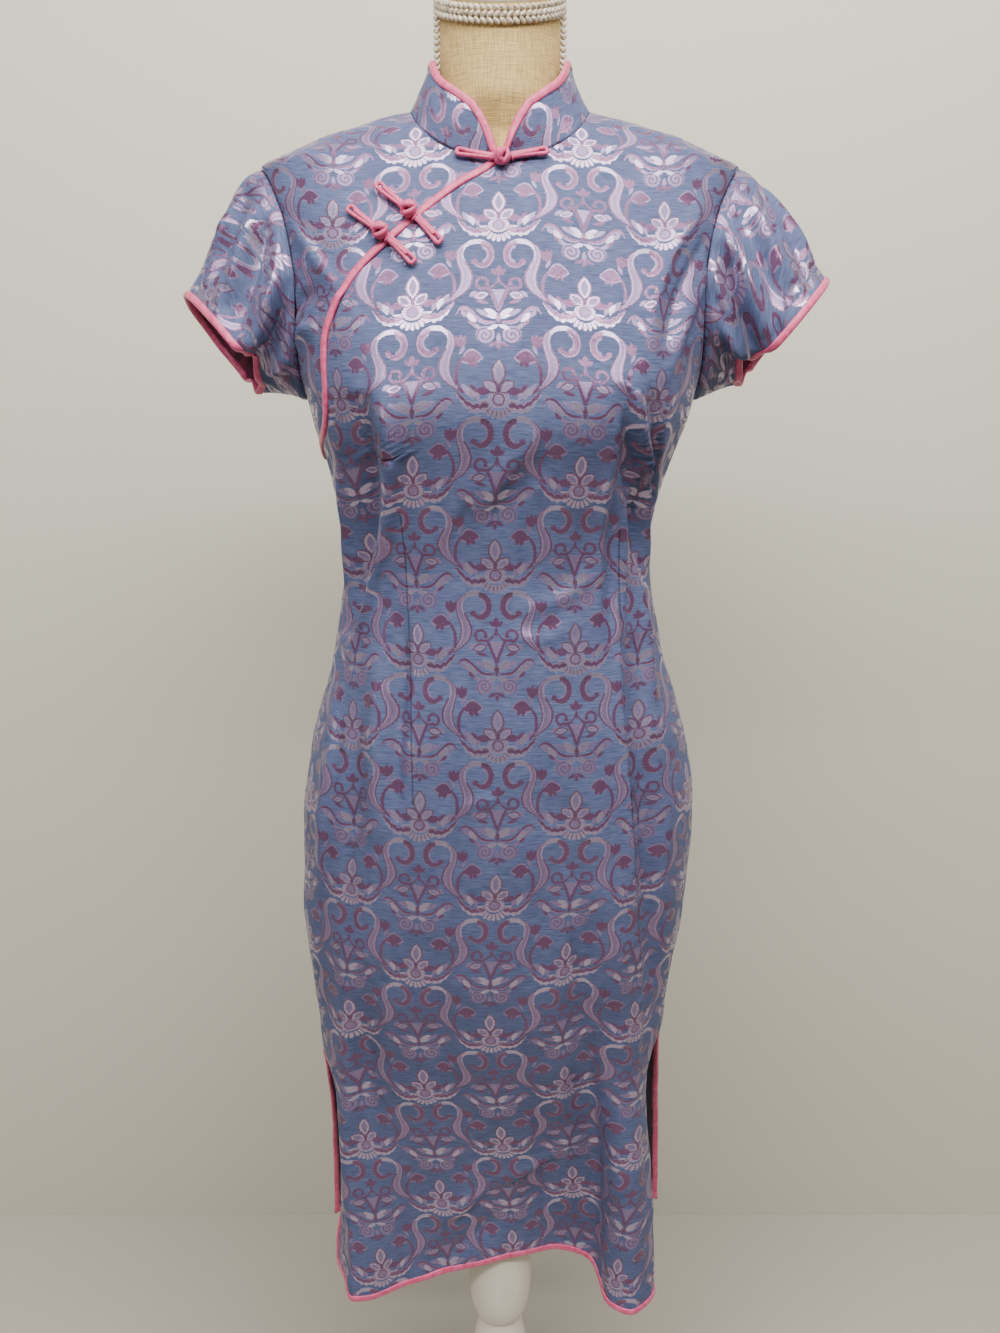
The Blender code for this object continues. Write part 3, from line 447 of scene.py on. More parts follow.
# ------------------------------------------------------------------ creases
TINY = 1e-12  # a length that counts as none
CREASE_SCALE = 2.6  # how much higher every crease is than its row says
CREASE_REACH = 3.2  # half widths from a crease at which it has died out
# Each crease: its half width and its height in millimetres (a hollow is negative), how much softer its one
# side is, then the places it runs through, each as degrees round the figure and height in millimetres.
FRONT_CREASES = (
    (9, 4.2, 0.5, -32, 1172, -31.9, 1129, -38, 1068, -48.8, 1010, -62.1, 950),
    (15, -7.5, 0, -40.8, 1165, -47.6, 1099, -57.6, 1034, -66.2, 965),
    (5, 2, 0, -62, 1110, -70, 1060, -76, 1000),
    (10, -3, 0.4, -34.1, 1000, -31.3, 908, -28.6, 820),
    (12, 3, 0, -42.5, 965, -37, 891, -34.6, 800),
    (11, -2.2, -0.4, -46.6, 907, -45, 812, -45.8, 700),
    (9, 2, 0.3, -62, 930, -58, 840, -60, 740),
    (10, 3, 0.4, -44.9, 700, -53.4, 591, -62.4, 503, -67.1, 400),
    (12, -2.2, 0, -37.7, 694, -48.2, 561, -57.9, 440),
    (5, 3, -0.4, 34.6, 1185, 43.8, 1137, 60.7, 1084, 74.3, 1025),
    (8, -4, 0, 32.6, 1168, 41.6, 1122, 57.9, 1058, 66, 1010),
    (7, -3.4, 0.4, 44.7, 1168, 58, 1114, 76.9, 1061),
    (7, 2.8, 0, 60.6, 1043, 62.2, 982, 58.3, 915),
    (4.2, 1.5, 0.3, 35, 1172, 37, 1110, 38, 1040, 35.5, 965),
    (4, -1.4, 0, 41, 1130, 43, 1080, 43, 1020, 40.5, 960),
    (4, 1.7, 0.3, 50, 1150, 51.5, 1090, 50.5, 1030, 47, 960),
    (4.5, -1.5, 0, 57, 1110, 57.5, 1060, 55, 1000),
    (5, 2.2, 0.6, 45.4, 1045, 44.7, 970, 39.4, 873, 41.7, 768, 51.8, 645, 58, 540),
    (14, -4.8, 0.3, 52.2, 975, 46.5, 871, 48.8, 765, 58.2, 651),
    (9, 1.8, 0.5, 11.1, 1136, 2.5, 1103, -6.8, 1070),
    (9, -1.4, 0, 15.4, 1120, 6.6, 1091, -2.1, 1060),
    (7, 1.2, 0.4, -7.1, 1105, -14.6, 1069, -27.9, 1025),
    (5, 1.2, 0.3, -10.4, 838, -5.1, 845, -0.1, 851),
    (13, -3.4, 0.4, 19.7, 850, 26.8, 699, 32.1, 578, 37.3, 444, 41.5, 310),
    (15, 3.6, -0.3, 31.3, 780, 40.8, 652, 50.7, 521, 58.3, 380),
    (7, 1.5, 0.4, 22.3, 475, 8.2, 459, -4, 442),
    (8, 1.8, 0.4, -5.7, 445, -16.6, 419, -28.3, 393),
    (10, -1.8, 0, -1.8, 406, -18.3, 367, -34.3, 335),
    (18, -2.2, 0, 11.8, 933, 13.8, 803, 12.8, 690),
    (16, -1.8, 0, -12, 720, -16, 600, -18, 480),
    (6, 1.2, 0.3, 38.1, 1028, 22.1, 1005, 6.1, 996),
    (5, 1, 0, 30, 990, 14, 975, 2, 978),
    (6, 1.6, 0.4, 58, 1310, 45.9, 1262, 41.1, 1215),
    (6, 1.8, 0.4, 66.2, 1261, 54.9, 1212, 50.4, 1168),
    (5, -1.4, 0, 62, 1290, 51, 1240, 46, 1195),
    (6, 1.4, 0.3, -60.1, 1292, -49.8, 1262, -42.8, 1228),
)
UNDERLAP_CREASES = (
    (6, 1.6, 0.3, -62.1, 1300, -50.8, 1266, -42.8, 1238),
    (6, 1.8, 0.3, -72, 1200, -62, 1215, -54, 1215),
    (5, -1.2, 0, -70, 1225, -60, 1238, -52, 1240),
)
BACK_CREASES = (
    (12, -5, 0.2, 108, 1140, 116, 1080, 113, 1020, 106, 960),
    (8, 3.4, 0.3, 118, 1170, 125, 1100, 121, 1020, 111, 955),
    (12, -4.4, -0.2, 253, 1150, 246, 1090, 249, 1020, 255, 955),
    (8, 3, -0.3, 241, 1165, 236, 1100, 240, 1030, 249, 950),
    (7, 2.2, 0.4, 150, 1046, 168, 1030, 190, 1034, 208, 1050),
    (6, -1.8, 0, 155, 1064, 172, 1050, 196, 1055),
    (7, 1.8, -0.4, 146, 1010, 163, 996, 178, 998),
    (6, 1.6, 0.4, 216, 1020, 200, 1000, 187, 992),
    (8, 1.4, 0, 160, 1130, 175, 1110, 199, 1118),
    (10, 1.8, 0.3, 130, 1300, 140, 1250, 146, 1190),
    (10, 1.6, -0.3, 231, 1290, 222, 1240, 217, 1180),
    (16, -4.6, 0.3, 141, 800, 139, 660, 134, 520, 130, 340),
    (14, 3.2, -0.3, 152, 740, 151, 600, 148, 460, 146, 330),
    (18, -4, -0.3, 222, 780, 225, 640, 229, 500, 231, 340),
    (13, 2.6, 0.3, 208, 720, 210, 600, 213, 440),
    (20, -2.6, 0, 178, 760, 181, 600, 179, 420),
    (7, 1.6, 0.4, 168, 480, 180, 462, 196, 440),
)
# On a sleeve a place is degrees from the shoulder round the front, and percent of the way to the open end.
SLEEVE_CREASES = {
    "left": (
        (6, -4, 0.2, 72, 5, 96, 40, 118, 80),
        (6, 3.4, 0.3, 62, 10, 82, 45, 100, 85),
        (5, 2.4, 0, 104, 10, 120, 45, 134, 90),
        (7, -3.4, 0, 118, 15, 140, 55, 152, 100),
        (6, 2.6, 0.3, 36, 15, 50, 45, 58, 80),
        (7, -2.6, 0, 46, 10, 64, 50, 74, 90),
        (6, 2.2, 0, 10, 20, 20, 55, 26, 90),
        (8, -3.4, 0.2, -60, 10, -78, 50, -96, 95),
        (6, 2.8, 0.3, -84, 5, -104, 45, -120, 95),
        (6, 2.2, 0, -36, 20, -48, 60, -58, 95),
        (4.5, 1.6, 0.2, 84, 4, 98, 22, 104, 40),
        (4, -1.4, 0, 92, 6, 110, 26, 126, 42),
        (4.5, 1.4, 0.3, 56, 55, 70, 75, 88, 92),
        (5, -1.4, 0, 24, 45, 36, 70, 50, 95),
    ),
    "right": (
        (7, -3.6, 0.2, 58, 10, 74, 45, 92, 85),
        (6, 3, 0.3, 44, 12, 58, 45, 72, 80),
        (6, 2.8, 0, 84, 8, 102, 45, 122, 90),
        (7, -3.6, 0, 102, 10, 124, 55, 142, 100),
        (6, 2.4, 0, 130, 15, 150, 55, 162, 100),
        (6, 2, 0.3, 20, 20, 30, 50, 38, 85),
        (7, -2.2, 0, 30, 12, 42, 50, 52, 90),
        (8, -3, 0.2, -66, 10, -82, 50, -98, 95),
        (6, 2.6, 0.3, -92, 5, -110, 45, -128, 95),
        (4.5, 1.6, 0.2, 70, 5, 88, 25, 100, 45),
        (4.5, -1.5, 0, 88, 5, 108, 28, 118, 50),
        (5, 1.5, 0.3, 50, 55, 62, 78, 80, 95),
        (5, -1.3, 0, 12, 35, 22, 60, 34, 92),
    ),
}
# Small ripples all over the cloth: wavelength along u and v in metres, height, phase.
RIPPLES = (
    (0.071, 0.290, 0.00034, 0.4),
    (-0.118, 0.083, 0.00030, 1.9),
    (0.052, -0.127, 0.00020, 3.1),
    (0.240, 0.047, 0.00022, 5.0),
    (-0.039, 0.210, 0.00014, 2.2),
)


def crease_line(path, place, count=90):
    """Points along a crease, each from place(first, second) of its row."""
    path = np.reshape(path, (-1, 2)).astype(float)
    steps = np.arange(len(path), dtype=float)
    at = np.linspace(0, steps[-1], count)
    return np.array([place(smooth(steps, path[:, 0], t), smooth(steps, path[:, 1], t)) for t in at])


def on_panel(panel):
    """Finds a crease's place on the front or back panel, from degrees and millimetres."""
    return lambda degrees, height: skirt_point(panel, height / 1000, math.radians(degrees))


def creased(points, normals, creases, place):
    """Moves a grid of points out or in by the creases that run near them."""
    flat, out = points.reshape(-1, 3), normals.reshape(-1, 3)
    move = np.zeros(len(flat))
    for width, depth, lean, *path in creases:
        width, depth = width / 1000, CREASE_SCALE * depth / 1000
        line = crease_line(path, place)
        reach = CREASE_REACH * width
        low, high = line.min(axis=0) - reach, line.max(axis=0) + reach
        near = np.nonzero(np.all((flat > low) & (flat < high), axis=1))[0]
        if len(near) == 0:
            continue
        away = np.linalg.norm(flat[near, None, :] - line[None, :, :], axis=2)
        best = np.argmin(away, axis=1)
        away = away[np.arange(len(near)), best]
        along = unit(np.gradient(line, axis=0))
        side = np.sign(np.sum(np.cross(along[best], out[near]) * (flat[near] - line[best]), axis=1))
        spread = width * (1 + lean * side)
        taper = np.sin(math.pi * best / (len(line) - 1)) ** 0.7
        move[near] += depth * taper * np.exp(-((away / spread) ** 2))
    return dip(points, normals, move.reshape(points.shape[:-1]))


def dip(points, normals, amounts):
    """Moves points out along their normals, or in where an amount is negative."""
    return points + normals * amounts[..., None]


def rippled(points, normals, uv, scale=1.0):
    """Moves a grid of points by the small ripples, which follow the flat cut."""
    height = sum(h * np.sin(2 * math.pi * (uv[..., 0] / a + uv[..., 1] / b) + p) for a, b, h, p in RIPPLES)
    return dip(points, normals, height * scale)


def grid_normals(points, closed=False):
    """Outward unit normals of a grid whose rows run round the figure anticlockwise from above."""
    wide = np.roll(points, -1, axis=1) - np.roll(points, 1, axis=1) if closed else np.gradient(points, axis=1)
    normal = np.cross(wide, np.gradient(points, axis=0))
    size = np.linalg.norm(normal, axis=2)[..., None]
    return normal / np.maximum(size, TINY)


# ------------------------------------------------------------------ mesh helpers
SHELL = 0.0010  # thickness of the shown cloth
BINDING_RISE = 0.0004  # how far an edging's middle is outside the cloth's own middle
# an edging's section, as shares of its width and thickness
BINDING_SECTION = ((-0.50, 0.06), (-0.47, 0.36), (-0.30, 0.50), (0.05, 0.56), (0.34, 0.46), (0.50, 0.0),
                   (0.34, -0.46), (0.05, -0.56), (-0.30, -0.50), (-0.47, -0.36), (-0.50, -0.06))


def finer(heights, step):
    """The same heights with more between them, no further apart than step."""
    rows = []
    for low, high in zip(heights, heights[1:]):
        rows.extend(np.linspace(low, high, max(1, math.ceil((high - low) / step)), endpoint=False))
    return rows + [heights[-1]]


def finished(bm, name):
    """The smooth mesh that a bmesh turns into."""
    mesh = bpy.data.meshes.new(name)
    bm.to_mesh(mesh)
    bm.free()
    mesh.shade_smooth()
    return mesh


def grid_mesh(name, points, uv=None, closed=False, merge=0.0):
    """A smooth mesh from rows of points, with a UV map in metres of the flat cut."""
    count = points.shape[1]
    bm = bmesh.new()
    layer = bm.loops.layers.uv.new("cut")
    verts = [[bm.verts.new(p) for p in row] for row in points]
    for i in range(len(points) - 1):
        for j in range(count if closed else count - 1):
            k = (j + 1) % count
            face = bm.faces.new((verts[i][j], verts[i][k], verts[i + 1][k], verts[i + 1][j]))
            if uv is not None:
                end = j + 1 if closed else k
                for loop, (a, b) in zip(face.loops, ((i, j), (i, end), (i + 1, end), (i + 1, j))):
                    loop[layer].uv = uv[a, b]
    if merge:
        bmesh.ops.remove_doubles(bm, verts=bm.verts, dist=merge)
    return finished(bm, name)


def shown(name, mesh, slot, *looks):
    """Adds a piece that rides on the object's one body."""
    made = bpy.data.objects.new(name, mesh)
    bpy.context.scene.collection.objects.link(made)
    for look in looks:
        mesh.materials.append(look)
    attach(made, "root")
    return made


def shell(name, points, uv, looks, closed=False):
    """A sheet of cloth; looks are those of its outside and of its inner face."""
    made = shown(name, grid_mesh(name, points, uv, closed), "brocade", *looks)
    wall = made.modifiers.new("wall", "SOLIDIFY")
    wall.thickness = SHELL
    wall.offset = -1
    wall.material_offset = 1
    wall.material_offset_rim = 0
    return made


def bound(name, line, across, normal, look, closed=False, rise=BINDING_RISE):
    """A folded satin strip along a cloth edge: line is its middle, across points over the edge."""
    if closed:
        along = unit(np.roll(line, -1, axis=0) - np.roll(line, 1, axis=0))
    else:
        along = unit(np.gradient(line, axis=0))
    across = square_to(across, along)
    out = square_to(normal, along, across)
    run = lengths(line)
    pucker = 1 + 0.10 * np.sin(run / 0.0047) + 0.07 * np.sin(run / 0.0113 + 1.3)
    rows = []
    for a, b in BINDING_SECTION:
        height = (b * BINDING_THICK * pucker - SHELL / 2 + rise)[:, None]
        rows.append(line + across * (a * BINDING_WIDTH) + out * height)
    rows = np.transpose(np.array(rows), (1, 0, 2))
    around = np.linspace(0, 2 * BINDING_WIDTH, rows.shape[1] + 1)
    uv = np.stack(np.broadcast_arrays(around[None, :], run[:, None]), axis=2)
    if closed:
        rows = np.concatenate([rows, rows[:1]])
        uv = np.concatenate([uv, uv[-1:] + (0, 0.003)])
    mesh = grid_mesh(name, rows, uv, closed=True, merge=1e-6)
    return shown(f"{name}_satin", mesh, "pink_satin", look)


OFF_AXIS = (0.31, 0.52, 0.79)  # a direction that no cord starts along


def cord_mesh(name, lines, radius, sides=8, closed=False):
    """Round cords along lines of points, as one mesh."""
    bm = bmesh.new()
    layer = bm.loops.layers.uv.new("cut")
    for line in lines:
        line = np.asarray(line, float)
        along = np.roll(line, -1, axis=0) - np.roll(line, 1, axis=0) if closed else np.gradient(line, axis=0)
        along = unit(along)
        frames = [unit(np.cross(along[0], OFF_AXIS))]
        for direction in along[1:]:
            frames.append(unit(frames[-1] - direction * np.dot(frames[-1], direction)))
        one = np.array(frames)
        two = np.cross(along, one)
        turn = (np.arange(sides) * 2 * math.pi / sides)[:, None]
        rings = line[:, None] + radius * (one[:, None] * np.cos(turn) + two[:, None] * np.sin(turn))
        verts = [[bm.verts.new(p) for p in ring] for ring in rings]
        last = len(verts) if closed else len(verts) - 1
        for i in range(last):
            for j in range(sides):
                m, k = (i + 1) % len(verts), (j + 1) % sides
                face = bm.faces.new((verts[i][j], verts[i][k], verts[m][k], verts[m][j]))
                for loop, (a, b) in zip(face.loops, ((i, j), (i, j + 1), (i + 1, j + 1), (i + 1, j))):
                    loop[layer].uv = (b * 2 * math.pi * radius / sides, a * radius)
        if not closed:
            bm.faces.new(verts[0][::-1])
            bm.faces.new(verts[-1])
    bmesh.ops.recalc_face_normals(bm, faces=bm.faces)
    return finished(bm, name)


# ------------------------------------------------------------------ flat cut of the panels
class Cut:
    """Lengths along the cloth: u round the figure from the panel's middle, v up from V_ZERO."""

    V_ZERO = 1.032
    ACROSS, UP = 121, 260  # how many places the panel is measured at

    def __init__(self, panel):
        middle = 0.0 if panel == "front" else math.pi
        self.angles = middle + np.linspace(-math.pi / 2, math.pi / 2, self.ACROSS)
        self.heights = np.linspace(HEM_Z, NECK_SIDE_Z, self.UP)
        points = np.array([skirt_point(panel, z, self.angles) for z in self.heights])
        wide = np.linalg.norm(np.diff(points, axis=1), axis=2)
        u = np.concatenate([np.zeros((self.UP, 1)), np.cumsum(wide, axis=1)], axis=1)
        self.u = u - u[:, self.ACROSS // 2, None]
        tall = np.linalg.norm(np.diff(points, axis=0), axis=2)
        v = np.concatenate([np.zeros((1, self.ACROSS)), np.cumsum(tall, axis=0)], axis=0)
        self.v = v - self.between(v, self.V_ZERO)

    def between(self, values, z):
        """The measured row at height z."""
        row = np.interp(z, self.heights, np.arange(self.UP))
        low = min(int(row), self.UP - 2)
        return values[low] * (1 - row + low) + values[low + 1] * (row - low)

    def at(self, z, angle):
        """(u, v) of points at height z and one or several angles."""
        rows = self.between(self.u, z), self.between(self.v, z)
        return np.stack([np.interp(angle, self.angles, row) for row in rows], axis=-1)


def panel_grid(panel, cut, rows, columns, low, high):
    """(points, uv) of a panel, each row from angle low(z) to high(z)."""
    shares = np.linspace(0, 1, columns)
    points, uv = [], []
    for z in rows:
        angles = low(z) + (high(z) - low(z)) * shares
        points.append(skirt_point(panel, z, angles))
        uv.append(cut.at(z, angles))
    return np.array(points), np.array(uv)


def from_edges(points, reach):
    """How near each point is to the first and to the last column: 1 on it, fading over reach."""
    first = np.linalg.norm(points - points[:, :1], axis=2)
    last = np.linalg.norm(points - points[:, -1:], axis=2)
    return np.exp(-((first / reach) ** 2)), np.exp(-((last / reach) ** 2))


def fitted(panel, points, uv, creases, seam_low, seam_high):
    """A panel's grid with creases and ripples, its edges rolled in along the seams; and its plain normals."""
    normals = grid_normals(points)
    points = creased(points, normals, creases, on_panel(panel))
    points = rippled(points, normals, uv)
    first, last = from_edges(points, ROLL_REACH)
    roll = -ROLL_DEPTH * (first * seam_low[:, None] + last * seam_high[:, None])
    return dip(points, normals, roll), normals


# ------------------------------------------------------------------ the dress
SEAM_LINE = 0.00012  # half the gap at a visible seam
ROLL_DEPTH, ROLL_REACH = 0.00045, 0.0024  # the seam allowance under a panel's edge
CURL_DEPTH, CURL_REACH = 0.0085, 0.0130  # the front's slit edges turn in
CURL_Z, CURL_HALF = 0.435, 0.065
UNDERLAP_BOTTOM_Z = 1.1175  # where it leaves the side seam under the front
SLIT_MARGIN = 0.002  # a seam starts this far above its slit
UPPER_ROWS = (1.148, UNDERARM_Z, 1.213, 1.280, FRONT_NECK_Z)
PANEL_ROWS = (HEM_Z, 0.560, 0.602, 0.720, 0.840, 0.950, 1.045, CROSSOVER_Z, *UPPER_ROWS)
SHOULDER_ROWS = (FRONT_NECK_Z, 1.346, 1.354, 1.362, 1.370, 1.377, 1.3855)
# the grid of each panel: columns, and the rows' distance below and above the front neck
FRONT_GRID, BACK_GRID, UNDERLAP_GRID = (150, 0.0042, 0.0022), (130, 0.0052, 0.0026), (64, 0.0030, 0.0022)


def side_of(z, slit=None):
    """Half the gap at a side seam, as an angle; none below the top of the slit on the given side."""
    if slit and z <= SLIT_TOP[slit]:
        return 0.0
    return SEAM_LINE / (0.5 * (section("front", z) + section("back", z)))


def above_slit(z, side):
    """1 where the seam on the given side is sewn, and 0 along its slit."""
    return (z > SLIT_TOP[side] + SLIT_MARGIN).astype(float)


def front_panel_points(cut):
    def low(z):
        if z <= CROSSOVER_Z:
            return -math.pi / 2 + side_of(z, "right")
        if z <= FRONT_NECK_Z:
            return float(crossover_angle(z))
        return float(neckline_angle(z))

    def high(z):
        if z < UNDERARM_Z:
            return math.pi / 2 - side_of(z, "left")
        return math.pi / 2 - armhole_bite(z, ARMHOLE_FRONT) - side_of(z)

    columns, step, shoulder_step = FRONT_GRID
    z = np.array(finer(PANEL_ROWS, step) + finer(SHOULDER_ROWS, shoulder_step)[1:])
    points, uv = panel_grid("front", cut, z, columns, low, high)
    sewn = above_slit(z, "right") * (z < CROSSOVER_Z - 0.01)
    points, normals = fitted("front", points, uv, FRONT_CREASES, sewn, above_slit(z, "left"))
    first, last = from_edges(points, CURL_REACH)
    curl = -CURL_DEPTH * np.exp(-(((z - CURL_Z) / CURL_HALF) ** 4))[:, None] * (first + last)
    return dip(points, normals, curl), uv, z


def back_panel_points(cut):
    def low(z):
        if z < UNDERARM_Z:
            return math.pi / 2 + side_of(z, "left")
        return math.pi / 2 + armhole_bite(z, ARMHOLE_BACK) + side_of(z)

    def high(z):
        if z < UNDERARM_Z:
            return 1.5 * math.pi - side_of(z, "right")
        return 1.5 * math.pi - armhole_bite(z, ARMHOLE_BACK) - side_of(z)

    columns, step, shoulder_step = BACK_GRID
    z = np.array(finer(PANEL_ROWS, step) + finer(SHOULDER_ROWS, shoulder_step)[1:])
    points, uv = panel_grid("back", cut, z, columns, low, high)
    points, _ = fitted("back", points, uv, BACK_CREASES, above_slit(z, "left"), above_slit(z, "right"))
    return points, uv, z


def underlap_points(cut):
    def low(z):
        bite = armhole_bite(z, ARMHOLE_FRONT) if z > UNDERARM_Z else 0.0
        return -math.pi / 2 + bite + side_of(z)

    def high(z):
        if z <= FRONT_NECK_Z:
            return float(crossover_angle(z))
        return -float(neckline_angle(z))

    columns, step, shoulder_step = UNDERLAP_GRID
    z = np.array(finer((UNDERLAP_BOTTOM_Z, *UPPER_ROWS), step) + finer(SHOULDER_ROWS, shoulder_step)[1:])
    points, uv = panel_grid("front", cut, z, columns, low, high)
    points, _ = fitted("front", points, uv, UNDERLAP_CREASES, np.ones(len(z)), np.zeros(len(z)))
    return points, uv


def hem_binding(panel, points, z, satin):
    """The satin strip down one slit, along the hem and up the other slit of a panel."""
    first, last = ("right", "left") if panel == "front" else ("left", "right")
    down = np.nonzero(z < SLIT_TOP[first] - 0.003)[0][::-1]
    up = np.nonzero(z < SLIT_TOP[last] - 0.003)[0]
    columns = np.arange(1, points.shape[1] - 1)
    line = np.concatenate([points[down, 0], points[0, columns], points[up, -1]])
    inside = np.concatenate([points[down, 3], points[3, columns], points[up, -4]])
    normals = grid_normals(points)
    out = np.concatenate([normals[down, 0], normals[0, columns], normals[up, -1]])
    inward = inside - line
    inward[len(down) - 1] = points[4, 4] - points[0, 0]  # the two corners
    inward[len(down) + len(columns)] = points[4, -5] - points[0, -1]
    inward = smoothed(unit(inward))
    middle = line + inward * (BINDING_WIDTH / 2 - BINDING_LAP)
    return bound(f"{panel}_hem_edging", middle, -inward, smoothed(out), satin)


def smoothed(values):
    """The same vectors, each twice evened out with its neighbours."""
    for _ in range(2):
        inner = (values[:-2] + 2 * values[1:-1] + values[2:]) / 4
        values = np.concatenate([values[:1], inner, values[-1:]])
    return values


def crossover_binding(satin):
    z = np.linspace(CROSSOVER_Z + 0.001, FRONT_NECK_Z - 0.002, 150)
    angle = crossover_angle(z)
    normal = surface_normal(z, angle)
    line = creased(ring_point(z, angle)[None], normal[None], FRONT_CREASES, on_panel("front"))[0]
    across = np.cross(np.gradient(line, axis=0), normal)
    return bound("crossover_edging", line, across, normal, satin, rise=0.0009)


def facing(normals, outward):
    """Normals, all turned round if they point inward on the whole."""
    return normals * np.sign(np.sum(normals * outward))


def sleeve(side, looks, satin):
    around = 150
    shares = np.concatenate([np.linspace(0.0, 0.10, 9), np.linspace(0.10, 1.0, 46)[1:]])
    points = sleeve_rows(side, shares, around)
    turn = np.arange(around) * 2 * math.pi / around
    if side == "right":
        points, turn = points[:, ::-1], turn[::-1]
    normals = facing(grid_normals(points, closed=True), points - points.mean(axis=1)[:, None])
    run = np.linalg.norm(np.diff(points, axis=0), axis=2)
    v = np.concatenate([np.zeros((1, around)), np.cumsum(run, axis=0)])
    uv = np.stack([round_rings(points), -np.concatenate([v, v[:, :1]], axis=1)], axis=2)

    def place(degrees, percent):
        row = sleeve_rows(side, (float(percent) / 100,), 360)[0]  # a point for each degree
        return row[int(round(float(degrees))) % 360]

    points = creased(points, normals, SLEEVE_CREASES[side], place)
    under = np.clip(-np.cos(turn) + 0.15, 0, 1)
    flutter = 0.0032 * np.sin(turn * 11 + 0.6) * under * (shares[:, None] ** 3)
    points = rippled(dip(points, normals, flutter), normals, uv[:, :-1], 1.5)
    head = 0.0010 * np.exp(-(((shares - 0.10) / 0.07) ** 2)) - 0.0007 * np.exp(-((shares / 0.022) ** 2))
    points = dip(points, normals, head[:, None])
    made = shell(f"sleeve_{side}_cloth", points, uv, looks, closed=True)
    out = facing(grid_normals(points, closed=True), normals)[-1]
    inward = unit(points[-4] - points[-1])
    line = points[-1] + inward * (BINDING_WIDTH / 2 - BINDING_LAP)
    return made, bound(f"sleeve_edging_{side}", line, -inward, out, satin, closed=True)


def collar(looks, satin):
    columns, shares = 100, np.linspace(0, 1, 26)
    points = collar_rows(shares, columns)
    along = neckline_loop(columns)[1]
    u = np.concatenate([along, 2 * along[-1] - along[::-1][1:]])
    tall = np.linalg.norm(points - points[:1], axis=2)
    uv = np.stack([np.broadcast_to(u, tall.shape), tall], axis=2)
    normals = facing(grid_normals(points), points - points.mean(axis=(0, 1)))
    swell = 0.0012 * np.sin(math.pi * shares)[:, None] * np.sin(u / 0.031)[None, :]
    points = dip(points, normals, swell)
    made = shell("collar_cloth", points[:, ::-1], uv[:, ::-1], looks)
    top = points[-1]
    inward = points[-5] - top
    inward /= np.maximum(np.linalg.norm(inward, axis=1)[:, None], 1e-9)
    ahead = unit(np.gradient(top, axis=0))
    out = unit(facing(np.cross(ahead, inward), normals[-1]))
    inside = facing(np.cross(out, ahead), inward)
    line = top + inside * (BINDING_WIDTH / 2 - BINDING_LAP)
    return made, bound("collar_edging", line[2:-2], -inside[2:-2], out[2:-2], satin)


# ------------------------------------------------------------------ frogs
FROG_CORD = 0.0016
FROG_SEAT = BINDING_THICK / 2 + FROG_CORD + 0.0012  # how far its cord's middle is outside the cloth
FROG_BALL_RISE, FROG_KNOT_CORD = 0.0028, 0.0022
FROG_WRAP_AT, FROG_WRAP_CORD = 0.0078, 0.0007  # the stitches that hold a bar's cords together
# half of a bar's outline, from the knot to the fold at its end: shares of its length and of its breadth
FROG_BAR_OUTLINE = ((0.10, 0.80), (0.30, 0.85), (0.55, 1.00), (0.80, 1.20), (0.94, 1.45), (1.00, 1.25),
                    (1.02, 0.70))


def circle(middle, one, two, radius, count=28):
    """Points round an oval whose axes lie along one and two."""
    turn = np.arange(count)[:, None] * 2 * math.pi / count
    return middle + radius * (np.cos(turn) * one + np.sin(turn) * two)


def frog(row, satin):
    """A frog: a knotted button, and on each side a bar of one cord laid double round a third strand."""
    at = dict(zip(FROG_COLUMNS, row))
    angle = angle_at(at["x"], at["z"])
    middle, normal = ring_point(at["z"], angle), surface_normal(np.float64(at["z"]), angle)
    flat = unit(np.cross((0.0, 0.0, 1.0), normal))
    up = np.cross(normal, flat)
    seat = middle + normal * FROG_SEAT
    ball = seat + normal * FROG_BALL_RISE
    leans = {"right": math.radians(at["tilt_right"]), "left": math.radians(at["tilt_left"])}
    lead = flat * math.cos(leans["left"]) + up * math.sin(leans["left"])
    cross = np.cross(normal, lead)
    loops = [
        circle(ball, lead * 0.9 + normal * 0.45, cross, 0.0048),
        circle(ball, lead * 0.5 - normal * 0.8, cross * 0.9 + lead * 0.2, 0.0046),
        circle(ball, cross * 0.75 + normal * 0.6, lead, 0.0046),
        circle(ball + normal * 0.001, lead * 0.7 + cross * 0.7, normal, 0.0040),
    ]
    knot = cord_mesh("knot", loops, FROG_KNOT_CORD, closed=True)
    pieces = [shown(f"frog_{at['name']}_knot_satin", knot, "pink_satin", satin)]
    outline = np.array(FROG_BAR_OUTLINE + tuple((s, -w) for s, w in FROG_BAR_OUTLINE[::-1]))
    steps = np.arange(len(outline), dtype=float)
    t = np.linspace(0, steps[-1], 90)
    along = smooth(steps, outline[:, 0], t) * (FROG_BAR_LENGTH + FROG_KNOT_RADIUS)
    aside = smooth(steps, outline[:, 1], t) * FROG_CORD * 1.04
    sink = 0.0010 * (along / FROG_BAR_LENGTH) ** 2
    for side, sign in (("right", -1), ("left", 1)):
        run = (flat * math.cos(leans[side]) + up * math.sin(leans[side])) * sign
        across = np.cross(normal, run)
        bow = aside + 0.0007 * np.sin(along / 0.011 + sign)
        line = seat + run * along[:, None] + across * bow[:, None] - normal * sink[:, None]
        strand = seat + run * np.linspace(0.12, 0.98, 30)[:, None] * FROG_BAR_LENGTH + normal * 0.0002
        wrap_loop = circle(seat + run * FROG_WRAP_AT, across * 1.95, normal, FROG_CORD, 24)
        name = f"frog_{at['name']}_bar_{side}"
        bar = joined(
            name,
            cord_mesh("bar", [line], FROG_CORD),
            cord_mesh("strand", [strand], FROG_CORD * 1.05),
            cord_mesh("wrap", [wrap_loop], FROG_WRAP_CORD, 6, closed=True),
        )
        pieces.append(shown(f"{name}_satin", bar, "pink_satin", satin))
    return pieces


